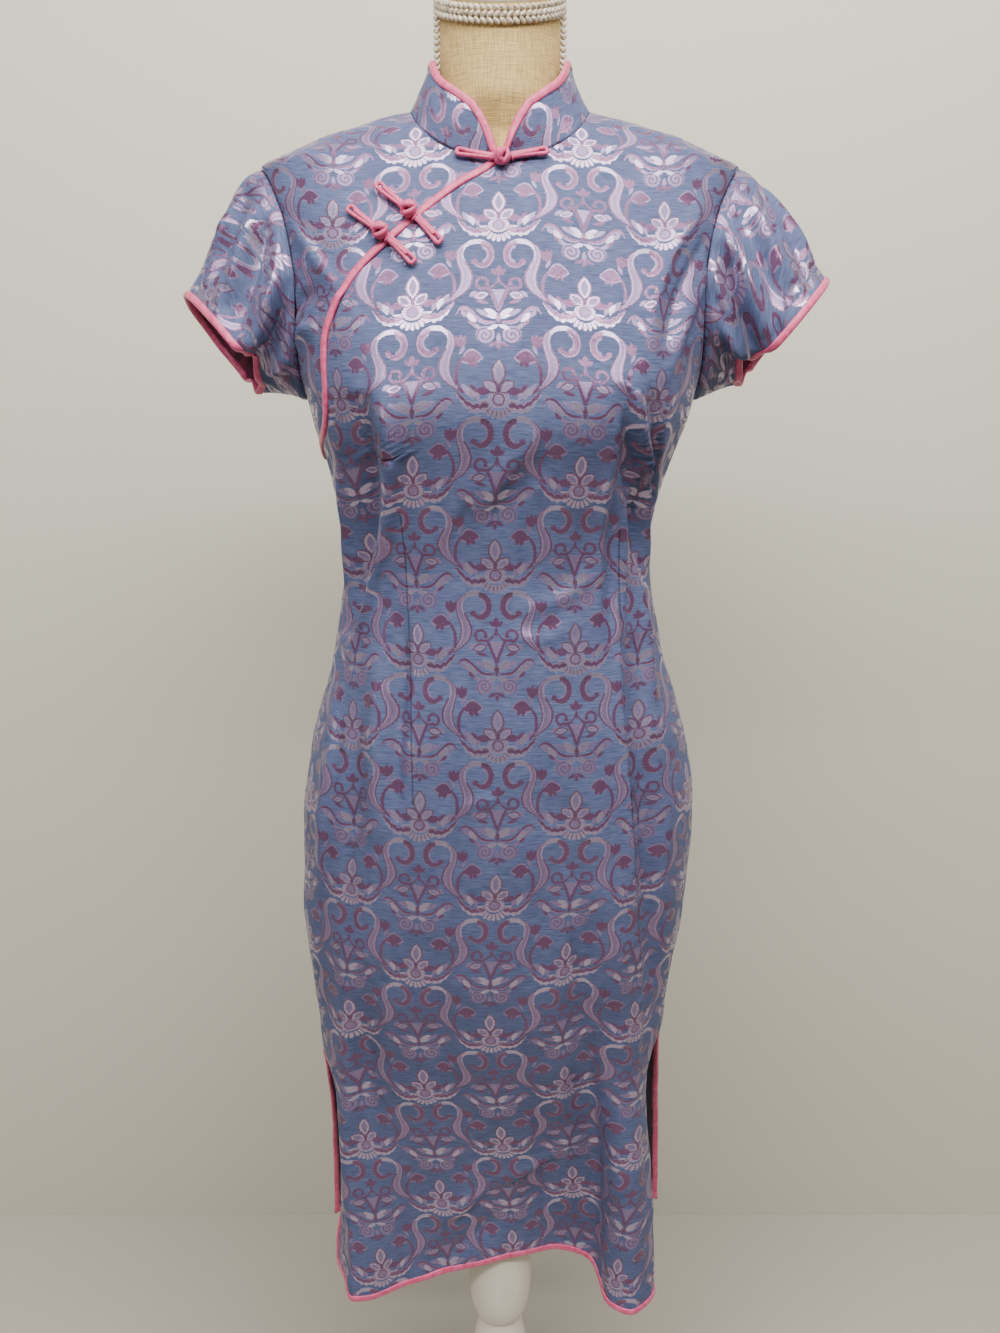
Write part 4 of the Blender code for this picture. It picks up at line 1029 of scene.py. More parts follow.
def joined(name, *meshes):
    """Several meshes as one."""
    bm = bmesh.new()
    for mesh in meshes:
        bm.from_mesh(mesh)
    return finished(bm, name)


# ------------------------------------------------------------------ the form and its stand
# the neck above the neckline: height of each ring, and its share of the full slant
NECK_ROWS = ((1.384, 0.0), (1.397, 0.04), (1.410, 0.1), (1.425, 0.19), (1.440, 0.32), (1.455, 0.62),
             (NECK_TOP_Z, 1.0))
# the cap on the neck: share of the neck's breadth, and rise above its top
CAP_ROWS = ((1.0, 0.0), (1.03, 0.002), (1.035, 0.004), (1.0, 0.007), (0.9, 0.010), (0.7, 0.0134),
            (0.45, 0.0152), (0.2, 0.0158), (0.01, CAP_HEIGHT))
# the three cords of the band: height from its middle, and the slant of its strands in degrees
ROPE_ROWS = ((-0.0045, 38), (0.0, -38), (0.0045, 38))
# the grains that a cord shows: how far apart, then half their length and breadth
ROPE_PITCH, ROPE_GRAIN = 0.0050, (0.0034, 0.00195)
BRAID_PITCH, BRAID_GRAIN, BRAID_SLANT = 0.0046, (0.0027, 0.00135), 32
SHARP_ANGLE = math.radians(38)  # an edge of the stand that is sharper shows as an edge
BRAID_LOW_Z, BRAID_HIGH_Z = 1.385, NECK_TOP_Z - 0.0125
def grain(bm, middle, long, wide, tall, sides=8, rows=6):
    """A ball drawn out along its three axes."""
    turns = [2 * math.pi * j / sides for j in range(sides)]
    rings = []
    for i in range(1, rows):
        rise, reach = math.cos(math.pi * i / rows), math.sin(math.pi * i / rows)
        ring = [middle + (long * math.cos(t) + wide * math.sin(t)) * reach + tall * rise for t in turns]
        rings.append([bm.verts.new(place) for place in ring])
    top, bottom = bm.verts.new(middle + tall), bm.verts.new(middle - tall)
    for j in range(sides):
        k = (j + 1) % sides
        bm.faces.new((top, rings[0][j], rings[0][k]))
        for upper, lower in zip(rings, rings[1:]):
            bm.faces.new((upper[j], lower[j], lower[k], upper[k]))
        bm.faces.new((bottom, rings[-1][k], rings[-1][j]))


def grains(bm, line, outward, pitch, slant, half_length, half_width):
    """A row of slanted grains along a line, as the strands of a tight cord show at its face."""
    run = lengths(line)
    along = np.gradient(line, axis=0)

    def at(place, table):
        return Vector([float(np.interp(place, run, table[:, i])) for i in range(3)])

    count = int(round(run[-1] / pitch))
    for place in (np.arange(count) + 0.5) * run[-1] / count:
        middle, ahead, out = at(place, line), at(place, along).normalized(), at(place, outward).normalized()
        lie = ahead * math.cos(slant) + ahead.cross(out) * math.sin(slant)
        grain(bm, middle, lie * half_length, out.cross(lie) * half_width, out * half_width)


def grain_mesh(name, rows):
    """Rows of grains as one mesh."""
    bm = bmesh.new()
    bm.loops.layers.uv.new("cut")
    for row in rows:
        grains(bm, *row)
    return finished(bm, name)


def torso_rows(angles):
    """Rings of the torso and neck, from the torso's flat under-side up."""
    low = form_ring(FORM_BOTTOM_Z, angles)
    centre = low.mean(axis=0)
    rows = [centre + (low - centre) * s for s in (0.02, 0.5, 0.86)]
    rows += [centre + (low - centre) * 0.96 + (0, 0, 0.004), low + (0, 0, 0.014)]
    for z in np.linspace(0.73, SHOULDER_TIP_Z, 40):
        inset = lookup(EASE, EASE_COLUMNS, "ease", z) + 0.017 * ease_in_out((1.345 - z) / 0.06)
        rows.append(ring_point(z, angles, inset) - (0, 0, 0.0040))
    rows += [form_ring(z, angles) - (0, 0, 0.0045) for z in (1.353, 1.361, 1.369, 1.376)]
    rows += [neck_ring(z, angles, NECK_SLANT * share) for z, share in NECK_ROWS]
    return np.array(rows)


def form(linen, cream, cord):
    angles = np.arange(96) * 2 * math.pi / 96
    rows = torso_rows(angles)
    u = round_rings(rows)
    v = np.broadcast_to(rows[..., 2].mean(axis=1)[:, None], u.shape)
    mesh = grid_mesh("form_torso", rows, np.stack([u, v], axis=2), closed=True)
    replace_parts(shown("form_torso_linen", mesh, "linen", linen), "form_torso")

    top = neck_ring(NECK_TOP_Z, angles, NECK_SLANT)
    middle = top.mean(axis=0)
    cap = np.array([middle + (top - middle) * share + (0, 0, rise) for share, rise in CAP_ROWS])
    lid = shown("neck_cap_painted", grid_mesh("neck_cap", cap, closed=True), "cream_paint", cream)
    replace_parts(lid, "neck_cap")

    ring = neck_ring(NECK_TOP_Z - ROPE_BAND_HALF - 0.001, np.linspace(0, 2 * math.pi, 361), NECK_SLANT)
    out = unit(ring - ring[:-1].mean(axis=0))
    rows = []
    for rise, slant in ROPE_ROWS:
        rows.append((ring + out * 0.0027 + (0, 0, rise), out, ROPE_PITCH, math.radians(slant), *ROPE_GRAIN))
    rope = shown("neck_rope_cords", grain_mesh("rope", rows), "silver_cord", cord)
    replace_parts(rope, "neck_rope")
    for label, sign in (("right", -1), ("left", 1)):
        z = np.linspace(BRAID_LOW_Z, BRAID_HIGH_Z, 120)
        bend = 0.0009 * np.sin((z - BRAID_LOW_Z) / 0.011)
        line = np.stack([sign * (NECK_HALF + BRAID_RADIUS + 0 * z), -0.004 + bend, z], axis=1)
        front = np.broadcast_to((0.35 * sign, -1.0, 0.0), line.shape)
        aside = np.array((0.0011, 0.0004 * sign, 0.0))
        rows = []
        for strand in (-1, 1):
            slant = math.radians(BRAID_SLANT * strand)
            rows.append((line + aside * strand, front, BRAID_PITCH, slant, *BRAID_GRAIN))
        braid = shown(f"neck_braid_{label}_cord", grain_mesh("braid", rows), "silver_cord", cord)
        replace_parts(braid, f"neck_braid_{label}")


def turned(name, node, profile, look, soften=False):
    """A turned part from (height, radius) rows, from its top to its bottom."""
    table = np.array(profile)
    steps = np.arange(len(table), dtype=float)
    if soften:
        t = np.linspace(0, steps[-1], 8 * len(table))
        table = np.stack([smooth(steps, table[:, 0], t), smooth(steps, table[:, 1], t)], axis=1)
    turn = np.arange(96) * 2 * math.pi / 96
    ends = [(table[0, 0], 1e-4), *table, (table[-1, 0], 1e-4)]
    rows = [np.stack([-r * np.cos(turn), r * np.sin(turn), z + 0 * turn], axis=1) for z, r in ends]
    mesh = grid_mesh(name, np.array(rows), closed=True)
    mesh.set_sharp_from_angle(angle=SHARP_ANGLE)
    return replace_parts(shown(name, mesh, "cream_paint", look), node)


# ------------------------------------------------------------------ values made by shader nodes
class Value:
    """A node's output, so that a pattern can be written as a sum."""

    def __init__(self, tree, of):
        self.tree = tree
        self.of = of

    def __add__(self, other):
        return math_of(self.tree, "ADD", self, other)

    def __sub__(self, other):
        return math_of(self.tree, "SUBTRACT", self, other)

    def __rsub__(self, other):
        return math_of(self.tree, "SUBTRACT", other, self)

    def __mul__(self, other):
        return math_of(self.tree, "MULTIPLY", self, other)

    def __truediv__(self, other):
        return math_of(self.tree, "DIVIDE", self, other)

    def __neg__(self):
        return math_of(self.tree, "MULTIPLY", self, -1.0)

    __radd__ = __add__
    __rmul__ = __mul__


def feed(tree, socket, value):
    """Links a value to a socket, or sets the socket to a number or a colour."""
    if isinstance(value, Value):
        tree.links.new(value.of, socket)
    elif isinstance(value, tuple):
        socket.default_value = (*value, 1.0)
    else:
        socket.default_value = value


def math_of(tree, operation, *values, clamp=False):
    node = tree.nodes.new("ShaderNodeMath")
    node.operation = operation
    node.use_clamp = clamp
    for socket, value in zip(node.inputs, values):
        feed(tree, socket, value)
    return Value(tree, node.outputs[0])


def operator(operation):
    """A function of values that makes one Math node."""
    return lambda value, *others: math_of(value.tree, operation, value, *others)


floor_of, wrap, fold = operator("FLOOR"), operator("FLOORED_MODULO"), operator("PINGPONG")
below, most, absolute = operator("LESS_THAN"), operator("MAXIMUM"), operator("ABSOLUTE")
root, sine, angle_of = operator("SQRT"), operator("SINE"), operator("ARCTAN2")


def clamped(value, gain, offset):
    """value * gain + offset, kept between 0 and 1."""
    return math_of(value.tree, "MULTIPLY_ADD", value, gain, offset, clamp=True)


def soft(distance):
    """1 inside a shape and 0 outside it, from the distance in millimetres inside its edge."""
    return clamped(distance, 2.0, 0.8)


def curve(v, table):
    """A smooth curve through the table's (place, value) rows."""
    table = np.array(table, float)
    low, high = table[0, 0], table[-1, 0]
    least, span = table[:, 1].min(), max(np.ptp(table[:, 1]), 1e-6)
    node = v.tree.nodes.new("ShaderNodeFloatCurve")
    points = node.mapping.curves[0].points
    places = np.sort(np.concatenate([table[:, 0], (table[:-1, 0] + table[1:, 0]) / 2]))
    while len(points) < len(places):
        points.new(0.5, 0.5)
    for point, place in zip(points, places):
        value = smooth(table[:, 0], table[:, 1], place)
        point.location = ((place - low) / (high - low), (float(value) - least) / span)
        point.handle_type = "AUTO"
    node.mapping.update()
    feed(v.tree, node.inputs["Value"], clamped(v, 1 / (high - low), -low / (high - low)))
    return math_of(v.tree, "MULTIPLY_ADD", Value(v.tree, node.outputs[0]), float(span), float(least))


# ------------------------------------------------------------------ the damask
# Drawn in millimetres about a palmette's middle; x runs to the next column, whose axis is COLUMN away.
COLUMN, ROW = 64.5, 70.5
# How much larger the drawing is than the woven repeat, across and along.
SCALE_ACROSS, SCALE_ALONG = 1.011, 1.037
START_ALONG = 45.0  # where a row of the drawing starts, below its palmette
LOWER_EDGE = ((0, -26.5), (5, -26.2), (9, -24.2), (13, -22.3), (20, -20.6), (27, -20.2), (31, -22), (36, -27),
              (42, -34), (50, -41), (56, -44.5), (64.5, -45))
# courses of the bands: place along, then the band's middle or half breadth
STEM_X = ((-3, 28.5), (1, 33), (5, 36.8), (10, 39.6), (16, 40.6), (22, 39.4), (29, 36.6), (35, 35.4),
          (39, 36), (43, 38.6), (46, 42.5))
STEM_HALF = ((-3, 1), (2, 2.6), (8, 3.6), (16, 4), (23, 3.6), (30, 2.9), (36, 2.5), (42, 2.2), (46, 1.6))
HOOK_Y = ((38, 41), (41, 44.4), (45, 46.2), (50, 46.6), (55, 45.2), (58, 42.5))
ARM_Y = ((7, -13.5), (12, -15.4), (18, -15.6), (23, -13.2), (27, -9.6), (31, -4.6))
ARM_HALF = ((7, 1.2), (11, 2.8), (18, 3.4), (24, 3.2), (29, 2.2), (31.5, 0.6))
STALK_X = ((2, 31), (8, 31.6), (13, 31.2), (18, 29.4), (23, 25.5))
VEE_X = ((-11, 0), (-4, 2.6), (2, 4.9), (7.5, 7.4))
LINK_Y = ((0, 15.5), (2, 12), (5, 8.6), (8.5, 7.2), (12.5, 7.5))
SIDE_Y = ((3, -20.5), (9, -20.6), (14, -18.6), (18, -14.4), (22, -10.6), (26, -8.9), (29, -9.6),
          (31.5, -13.5))
SIDE_HALF = ((3, 0.8), (9, 1.5), (15, 1.9), (21, 1.9), (27, 1.4), (31.5, 0.9))
# leaves and petals: middle across, middle up, half length, half breadth, degrees, bend, tone
PALMETTE_LEAVES = (
    (0, 11, 9.6, 4.2, 90, 0, "edged"),
    (6.2, 0.2, 6.6, 3.6, 40, 0, "edged"),
    (11.6, -3.2, 5.4, 2.6, 6, 0, "dark"),
    (0, -1.6, 3.4, 1.2, 90, 0, "dark"),
    (16.5, -6, 4.6, 1.6, 62, 0.03, "lilac"),
    (20.5, -4.6, 5.2, 1.7, 66, 0.03, "pale"),
    (24.5, -1.6, 5.2, 1.7, 60, 0.03, "lilac"),
    (18.6, -1, 4.2, 1.2, 52, 0.03, "dark"),
    (28, -2.2, 4, 1, 48, 0, "dark"),
    (20, 23.2, 8, 4.4, -8, 0.035, "rimmed"),
    (17.6, 18.4, 3.4, 1.4, 62, 0, "dark"),
    (21, 18, 3.2, 1.3, 80, 0, "dark"),
    (26.4, 34.8, 5, 1.7, 108, 0, "dark"),
    (28.4, 35.2, 5.4, 1.6, 90, 0, "dark"),
    (30.6, 34.8, 4.8, 1.7, 70, 0, "dark"),
    (27.2, 28.2, 4, 1, 118, 0, "lilac"),
)
CARTOUCHE_LEAVES = (
    (0, 22.4, 4.4, 2, 90, 0, "dark"),
    (3.2, 21, 3.2, 1.3, 48, 0, "dark"),
    (0, 14.5, 4, 1, 90, 0, "dark"),
    (13.2, 1.4, 5.6, 2.5, -14, 0, "edged"),
    (12, -3.8, 5, 1.1, 14, 0, "dark"),
    (19, 2.6, 3.6, 1.4, -40, 0, "lilac"),
    (6, -11.8, 5.4, 1.7, 26, 0, "pale"),
    (12, -12.4, 5.6, 1.5, 34, 0.02, "lilac"),
    (4, -15.6, 5.2, 1.5, 10, 0, "pale"),
    (0, -17, 5, 1.4, 90, 0, "dark"),
    (20.4, -16.8, 5, 1.8, 50, -0.03, "pale"),
    (25.4, -13.8, 4.2, 1.5, 46, -0.03, "lilac"),
    (16.6, -23.4, 4.4, 1.3, 30, -0.03, "lilac"),
    (20.6, -20.8, 3.6, 1.1, 44, -0.03, "dark"),
    (4.4, -24.4, 4.8, 1.4, -22, 0, "pale"),
    (3.4, -37.6, 4.4, 1.2, -28, 0, "dark"),
    (0, -33.6, 4.6, 1.3, 90, 0, "lilac"),
    (0, -40, 2.6, 1.2, 90, 0, "dark"),
)


class Tones:
    """What is woven in each tone, gathered one shape after another."""

    def __init__(self):
        self.shapes = {}

    def add(self, tone, shape):
        self.shapes[tone] = most(self.shapes[tone], shape) if tone in self.shapes else shape


def leaf(x, y, across, up, length, half, degrees, bend):
    """How far inside a leaf's edge a place lies."""
    cosine, sine_of = math.cos(math.radians(degrees)), math.sin(math.radians(degrees))
    dx, dy = x - across, y - up
    along = dx * cosine + dy * sine_of
    square = along * along
    off_axis = absolute(dy * cosine - dx * sine_of + square * bend)
    return half * 1.2 - square * (half * 1.2 / length**2) - off_axis


def leaves(tones, x, y, table):
    for across, up, length, half, degrees, bend, tone in table:
        inside = leaf(x, y, across, up, length, half, degrees, bend)
        if tone == "edged":
            heart = soft(inside - half * 0.62)
            tones.add("dark", soft(0.50 - absolute(inside)))
            tones.add("pale", soft(inside - 0.2) * (1.0 - heart))
            tones.add("lilac", heart * 0.8)
        elif tone == "rimmed":
            tones.add("dark", soft(inside - 0.9))
            tones.add("lilac", soft(0.75 - absolute(inside)))
        else:
            tones.add(tone, soft(inside))


def dot(x, y, across, up, radius):
    return soft(radius - root((x - across) * (x - across) + (y - up) * (y - up)))


def palmette_base(tones, x, y):
    """The dome under the palmette, its fringe of petals, and the scalloped arm on each side."""
    low = y + 9.5
    reach = root(x * x + low * low)
    around = angle_of(x, low)
    dome = soft(7.6 - root(x * x * 0.9 + low * low * 1.4))
    petal = absolute(sine(around * 10.5))
    tones.add("lilac", dome)
    tones.add("pale", dome * soft(petal * 2.4 - 1.3) * soft(reach - 4.6))
    tones.add("dark", dome * soft(0.45 - absolute(reach - 4.2)))
    fringe = soft(12.2 + petal * 2.6 - reach) * soft(reach - 8.6) * soft((around - 1.62) * 9)
    tones.add("pale", fringe * soft(petal * 2.4 - 0.8))
    tones.add("dark", fringe * soft(0.85 - petal * 2.6))
    arm_y = curve(x, ARM_Y)
    scallop = sine(x * 1.25)
    arm = soft(curve(x, ARM_HALF) * (1.0 + 0.20 * scallop) - absolute(y - arm_y))
    arm = arm * soft(x - 7.5) * soft(31.5 - x)
    tones.add("lilac", arm)
    tones.add("pale", arm * soft(arm_y - 1.2 - y))
    tones.add("dark", arm * soft(1.5 - absolute(y - arm_y - 0.9 - 0.6 * scallop)))


def scroll(tones, x, y):
    """The S stem from the arm, the hook over its top, the curl that hangs from it, and the bean's stalk."""
    stem_x = curve(y, STEM_X)
    stem_half = curve(y, STEM_HALF)
    on_stem = soft(y + 3) * soft(45.5 - y)
    tones.add("lilac", soft(stem_half - absolute(x - stem_x)) * on_stem)
    across = absolute(x - stem_x)
    tones.add("pale", soft(0.35 - absolute(across - stem_half * 0.78)) * on_stem * 0.7)
    tones.add("dark", soft(0.30 - absolute(x - stem_x + stem_half * 0.15)) * on_stem * 0.45)
    tones.add("dark", soft(0.75 - absolute(x - stem_x - stem_half)) * on_stem * soft(30 - y))
    tones.add("dark", soft(0.40 - absolute(stem_x - stem_half - x)) * on_stem)
    tones.add("dark", soft(1.2 - absolute(x - curve(y, STALK_X))) * soft(y - 1) * soft(23 - y))
    tones.add("pale", soft(1.9 - absolute(y - curve(x, HOOK_Y))) * soft(x - 38) * soft(57.5 - x))
    cx, cy = x - 51.6, (y - 35.6) * 0.78
    ring = root(cx * cx + cy * cy)
    swell = (x - 48) * 0.08 + 1.2
    on_ring = soft(most(cx + 0.5, -4.5 - cy))
    tones.add("dark", soft(swell - absolute(ring - 7.2)) * on_ring)
    tones.add("pale", soft(0.30 - absolute(ring - 7.2 - swell * 0.8)) * on_ring)
    tones.add("dark", dot(x, y, 46.2, 29.6, 2.3))
    tones.add("lilac", soft(1.0 - absolute(ring - 5.0)) * soft(cx - 0.5))


def cartouche(tones, c, y):
    """The coils, the V with its gem, the side arms and the spirals, about the axis between two columns."""
    kx, ky = c - 12.2, y - 11.6
    coil = root(kx * kx + ky * ky)
    on_coil = soft(most(kx + 1.0, ky + 1.5))
    tones.add("dark", soft(1.05 - absolute(coil - 4.2 - angle_of(kx, ky) * 0.22)) * on_coil)
    tones.add("dark", dot(c, y, 8.6, 11.0, 1.6))
    vee_x = curve(y, VEE_X)
    tones.add("dark", soft(1.2 - absolute(c - vee_x)) * soft(y + 11.5) * soft(8 - y))
    tones.add("lilac", soft(vee_x - 1.8 - c) * soft(y + 8) * soft(6.4 - y))
    tones.add("dark", soft(1.05 - absolute(y - curve(c, LINK_Y))) * soft(12.5 - c))
    side_y = curve(c, SIDE_Y)
    side = soft(curve(c, SIDE_HALF) - absolute(y - side_y)) * soft(c - 2.5) * soft(31.8 - c)
    tones.add("lilac", side)
    tones.add("dark", side * soft(y - side_y + 0.3))
    wx, wy = c - 10.0, y + 30.6
    spiral = root(wx * wx + wy * wy)
    turns = absolute(wrap(spiral - angle_of(wx, wy) * 0.55, 3.45) - 1.7)
    tones.add("lilac", soft(turns - 0.75) * soft(7.0 - spiral))
    tones.add("dark", soft(0.35 - turns) * soft(6.6 - spiral) * 0.7)


def damask(u, v):
    """The shares of lilac, pale and dark thread at a place on the cut, whose columns go in a half-drop."""
    u = u * SCALE_ACROSS
    v = v * SCALE_ALONG
    row = floor_of((v + START_ALONG) / ROW)
    y = v - row * ROW
    x = fold(u + wrap(row, 2) * COLUMN, COLUMN)
    lower = below(y, curve(x, LOWER_EDGE))
    x = x + lower * (COLUMN - 2 * x)
    y = y + lower * ROW
    c = COLUMN - x
    tones = Tones()
    leaves(tones, x, y, PALMETTE_LEAVES)
    leaves(tones, c, y, CARTOUCHE_LEAVES)
    palmette_base(tones, x, y)
    scroll(tones, x, y)
    cartouche(tones, c, y)
    return tones.shapes["lilac"], tones.shapes["pale"], tones.shapes["dark"]


# ------------------------------------------------------------------ materials
def new_material(name, **settings):
    """A material, its node tree and its shader, with the shader's inputs set by name."""
    made = bpy.data.materials.new(name)
    made.use_nodes = True
    shader = made.node_tree.nodes["Principled BSDF"]
    for key, value in settings.items():
        feed(made.node_tree, shader.inputs[key.replace("_", " ")], value)
    return made, made.node_tree, shader


def cut_place(tree):
    """(u, v) of the flat cut, in millimetres."""
    place = tree.nodes.new("ShaderNodeUVMap")
    place.uv_map = "cut"
    parts = tree.nodes.new("ShaderNodeSeparateXYZ")
    tree.links.new(place.outputs[0], parts.inputs[0])
    return Value(tree, parts.outputs[0]) * 1000.0, Value(tree, parts.outputs[1]) * 1000.0


def joined_vector(tree, *values):
    node = tree.nodes.new("ShaderNodeCombineXYZ")
    for socket, value in zip(node.inputs, values):
        feed(tree, socket, value)
    return node.outputs[0]


def noise(tree, vector, scale, detail=2.0, rough=0.5):
    node = tree.nodes.new("ShaderNodeTexNoise")
    for key, value in (("Scale", scale), ("Detail", detail), ("Roughness", rough)):
        node.inputs[key].default_value = value
    tree.links.new(vector, node.inputs["Vector"])
    return Value(tree, node.outputs["Fac"])


def threads(u, v, across, along, detail=2.0, rough=0.5, shift=0.0):
    """Noise stretched as the threads are, with so many waves to the millimetre across and along the cut."""
    return noise(u.tree, joined_vector(u.tree, u * across, v * along, shift), 1.0, detail, rough)


def mixed(tree, share, one, two):
    node = tree.nodes.new("ShaderNodeMix")
    node.data_type = "RGBA"
    for index, value in ((0, share), (6, one), (7, two)):  # its factor and its two colours
        feed(tree, node.inputs[index], value)
    return Value(tree, node.outputs[2])


def scaled_color(tree, color, factor):
    node = tree.nodes.new("ShaderNodeVectorMath")
    node.operation = "SCALE"
    feed(tree, node.inputs[0], color)
    feed(tree, node.inputs["Scale"], factor)
    return Value(tree, node.outputs[0])


def bumped(tree, shader, height, strength, distance):
    node = tree.nodes.new("ShaderNodeBump")
    node.inputs["Strength"].default_value = strength
    node.inputs["Distance"].default_value = distance
    feed(tree, node.inputs["Height"], height)
    tree.links.new(node.outputs[0], shader.inputs["Normal"])


GROUND = (0.048, 0.066, 0.146)
GROUND_LIGHT = (0.116, 0.137, 0.258)
LILAC = (0.270, 0.185, 0.325)
PALE = (0.460, 0.370, 0.510)
BURGUNDY = (0.150, 0.058, 0.122)
WINE = (0.060, 0.012, 0.030)
NAVY = (0.020, 0.026, 0.060)
WINE_LIGHT = (0.240, 0.022, 0.075)
PINK_DARK, PINK = (0.500, 0.040, 0.135), (0.780, 0.120, 0.270)
LINEN_DARK, LINEN = (0.460, 0.300, 0.100), (0.780, 0.560, 0.225)
CORD_DARK, CORD = (0.300, 0.225, 0.150), (0.820, 0.730, 0.560)
CREAM = (0.740, 0.680, 0.570)
FLOOR_PAINT, WALL_PAINT = (0.49, 0.455, 0.39), (0.62, 0.59, 0.49)
WEAVE = 9.0  # radians of the plain weave's wave to the millimetre
SEAM_HALF = 0.55  # half the breadth of a dart's seam line, with its painted shade, in millimetres


def dart_seam_shade_and_dip(u, v, seams):
    """Where the seams of the darts run, as a mask for their painted shade and their dip in the bump, or None
    on a piece without darts.
    """
    line = None
    for table in seams:
        near = soft(SEAM_HALF - absolute(u - curve(v, table)))
        near = near * soft(v - table[0][0]) * soft(table[-1][0] - v)
        line = near if line is None else most(line, near)
    return line


def brocade(name, u_shift=0.0, v_shift=0.0, seams=()):
    """The damask: a blue ground, figures in lilac and burgundy floats, and the dart seams of a panel, drawn
    as painted shade and a dip in the bump.
    """
    made, tree, shader = new_material(
        name,
        Specular_IOR_Level=0.22,
        Sheen_Weight=0.05,
        Sheen_Roughness=0.4,
        Sheen_Tint=(0.75, 0.70, 0.90),
    )
    u, v = cut_place(tree)
    pick = threads(u, v, 0.10, 1.3)
    lilac, pale, dark = damask(u + u_shift + (pick - 0.5) * 2.2, v + v_shift)
    fleck = threads(u, v, 0.42, 0.75, 3.0, 0.65)
    bright, dim = clamped(fleck, 6.0, -3.35), clamped(fleck, -6.0, 2.75)
    figured = most(lilac, pale)
    pale = most(pale, lilac * bright * 0.75)
    dark = most(dark * (1.0 - bright * 0.45), figured * dim * 0.45)
    slub = threads(u, v, 0.08, 1.1, 3.0, 0.6)
    cloud = threads(u, v, 0.012, 0.010)
    floats = sine(u * 5.2 + v * 2.1) * 0.5 + 0.5
    colour = mixed(tree, clamped(slub, 3.4, -1.2), GROUND, GROUND_LIGHT)
    colour = mixed(tree, lilac * (floats * 0.30 + 0.62), colour, LILAC)
    colour = mixed(tree, pale * (floats * 0.25 + 0.70), colour, PALE)
    colour = mixed(tree, dark * (floats * 0.22 + 0.74), colour, BURGUNDY)
    shade = cloud * 0.30 + 0.85
    height = sine(u * WEAVE) * sine(v * WEAVE) * 0.125 + slub * 0.35
    line = dart_seam_shade_and_dip(u, v, seams)
    if line is not None:
        # painted shade: each dart's seam line is darkened as if shaded in its crease
        shade = shade * (1.0 - line * 0.45)
        height = height - line * 2.0
    figure = most(most(lilac * 0.6, pale * 0.9), dark)
    feed(tree, shader.inputs["Base Color"], scaled_color(tree, colour, shade))
    feed(tree, shader.inputs["Roughness"], clamped(figure, -0.52, 0.70))
    feed(tree, shader.inputs["Metallic"], most(most(lilac * 0.50, pale * 0.66), dark * 0.38))
    bumped(tree, shader, height, 0.5, 0.00022)
    return made


def reverse_side(name, one, two):
    """The inner face, where the wine and navy threads lie."""
    made, tree, shader = new_material(name, Roughness=0.75)
    u, v = cut_place(tree)
    share = clamped(threads(u, v, 0.07, 0.07, 3.0), 3.0, -1.0)
    feed(tree, shader.inputs["Base Color"], mixed(tree, share, one, two))
    bumped(tree, shader, sine(u * WEAVE) * sine(v * WEAVE), 0.4, 0.0002)
    return made


def pink_satin():
    made, tree, shader = new_material(
        "pink_satin_folded",
        Roughness=0.36,
        Specular_IOR_Level=0.5,
        Sheen_Weight=0.10,
        Sheen_Tint=(1.0, 0.75, 0.85),
    )
    u, v = cut_place(tree)
    cloud = threads(u, v, 0.25, 0.18, 3.0)
    thread = threads(u, v, 0.6, 5.0)
    share = clamped(cloud + thread * 0.35, 2.2, -1.0)
    feed(tree, shader.inputs["Base Color"], mixed(tree, share, PINK_DARK, PINK))
    bumped(tree, shader, thread + cloud * 1.4, 0.5, 0.00035)
    return made


def linen_cloth():
    made, tree, shader = new_material("linen_woven", Roughness=0.9, Sheen_Weight=0.05)
    u, v = cut_place(tree)
    woven = threads(u, v, 1.1, 0.05, rough=0.7) + threads(u, v, 0.05, 1.1, rough=0.7, shift=7.0)
    grid = sine(u * 4.4) * sine(v * 4.4) * 0.25 + 0.5
    colour = mixed(tree, clamped(woven, 2.9, -2.45), LINEN_DARK, LINEN)
    feed(tree, shader.inputs["Base Color"], scaled_color(tree, colour, grid * 0.35 + 0.82))
    bumped(tree, shader, woven + grid, 0.6, 0.0006)
    return made


def painted_wood(name, color):
    made, tree, shader = new_material(name)
    place = tree.nodes.new("ShaderNodeTexCoord").outputs["Object"]
    mapping = tree.nodes.new("ShaderNodeMapping")
    mapping.inputs["Scale"].default_value = (1.0, 1.0, 0.25)  # the grain runs up
    tree.links.new(place, mapping.inputs["Vector"])
    grain = noise(tree, mapping.outputs[0], 60.0, 4.0, 0.6)
    wear = noise(tree, place, 9.0, 3.0)
    dull = tuple(c * 0.86 for c in color)
    feed(tree, shader.inputs["Base Color"], mixed(tree, clamped(grain + wear, 1.4, -0.9), dull, color))
    feed(tree, shader.inputs["Roughness"], math_of(tree, "MULTIPLY_ADD", wear, 0.25, 0.30))
    bumped(tree, shader, grain, 0.15, 0.0004)
    return made


def twisted_cord():
    made, tree, shader = new_material("silver_cord_twisted", Roughness=0.5, Sheen_Weight=0.3)
    place = tree.nodes.new("ShaderNodeTexCoord").outputs["Object"]
    share = clamped(noise(tree, place, 420.0), 2.4, -0.7)
    feed(tree, shader.inputs["Base Color"], mixed(tree, share, CORD_DARK, CORD))
    bumped(tree, shader, share, 0.4, 0.0003)
    return made


def floor_paint():
    """The floor's colour, with a faint unevenness."""
    made, tree, shader = new_material("floor_pale", Roughness=0.8)
    share = noise(tree, tree.nodes.new("ShaderNodeTexCoord").outputs["Object"], 3.0, 4.0)
    dull = tuple(c * 0.94 for c in FLOOR_PAINT)
    feed(tree, shader.inputs["Base Color"], mixed(tree, share, dull, FLOOR_PAINT))
    return made


# ------------------------------------------------------------------ stage, light and camera
STAGE_HALF, WALL_Y, WALL_TOP, FLOOR_Z = 4, 0.46, 4, -0.0005
FLOOR_REACH = 5  # before and behind the form
WORLD_COLOR, WORLD_STRENGTH = (0.86, 0.90, 1.0), 0.10
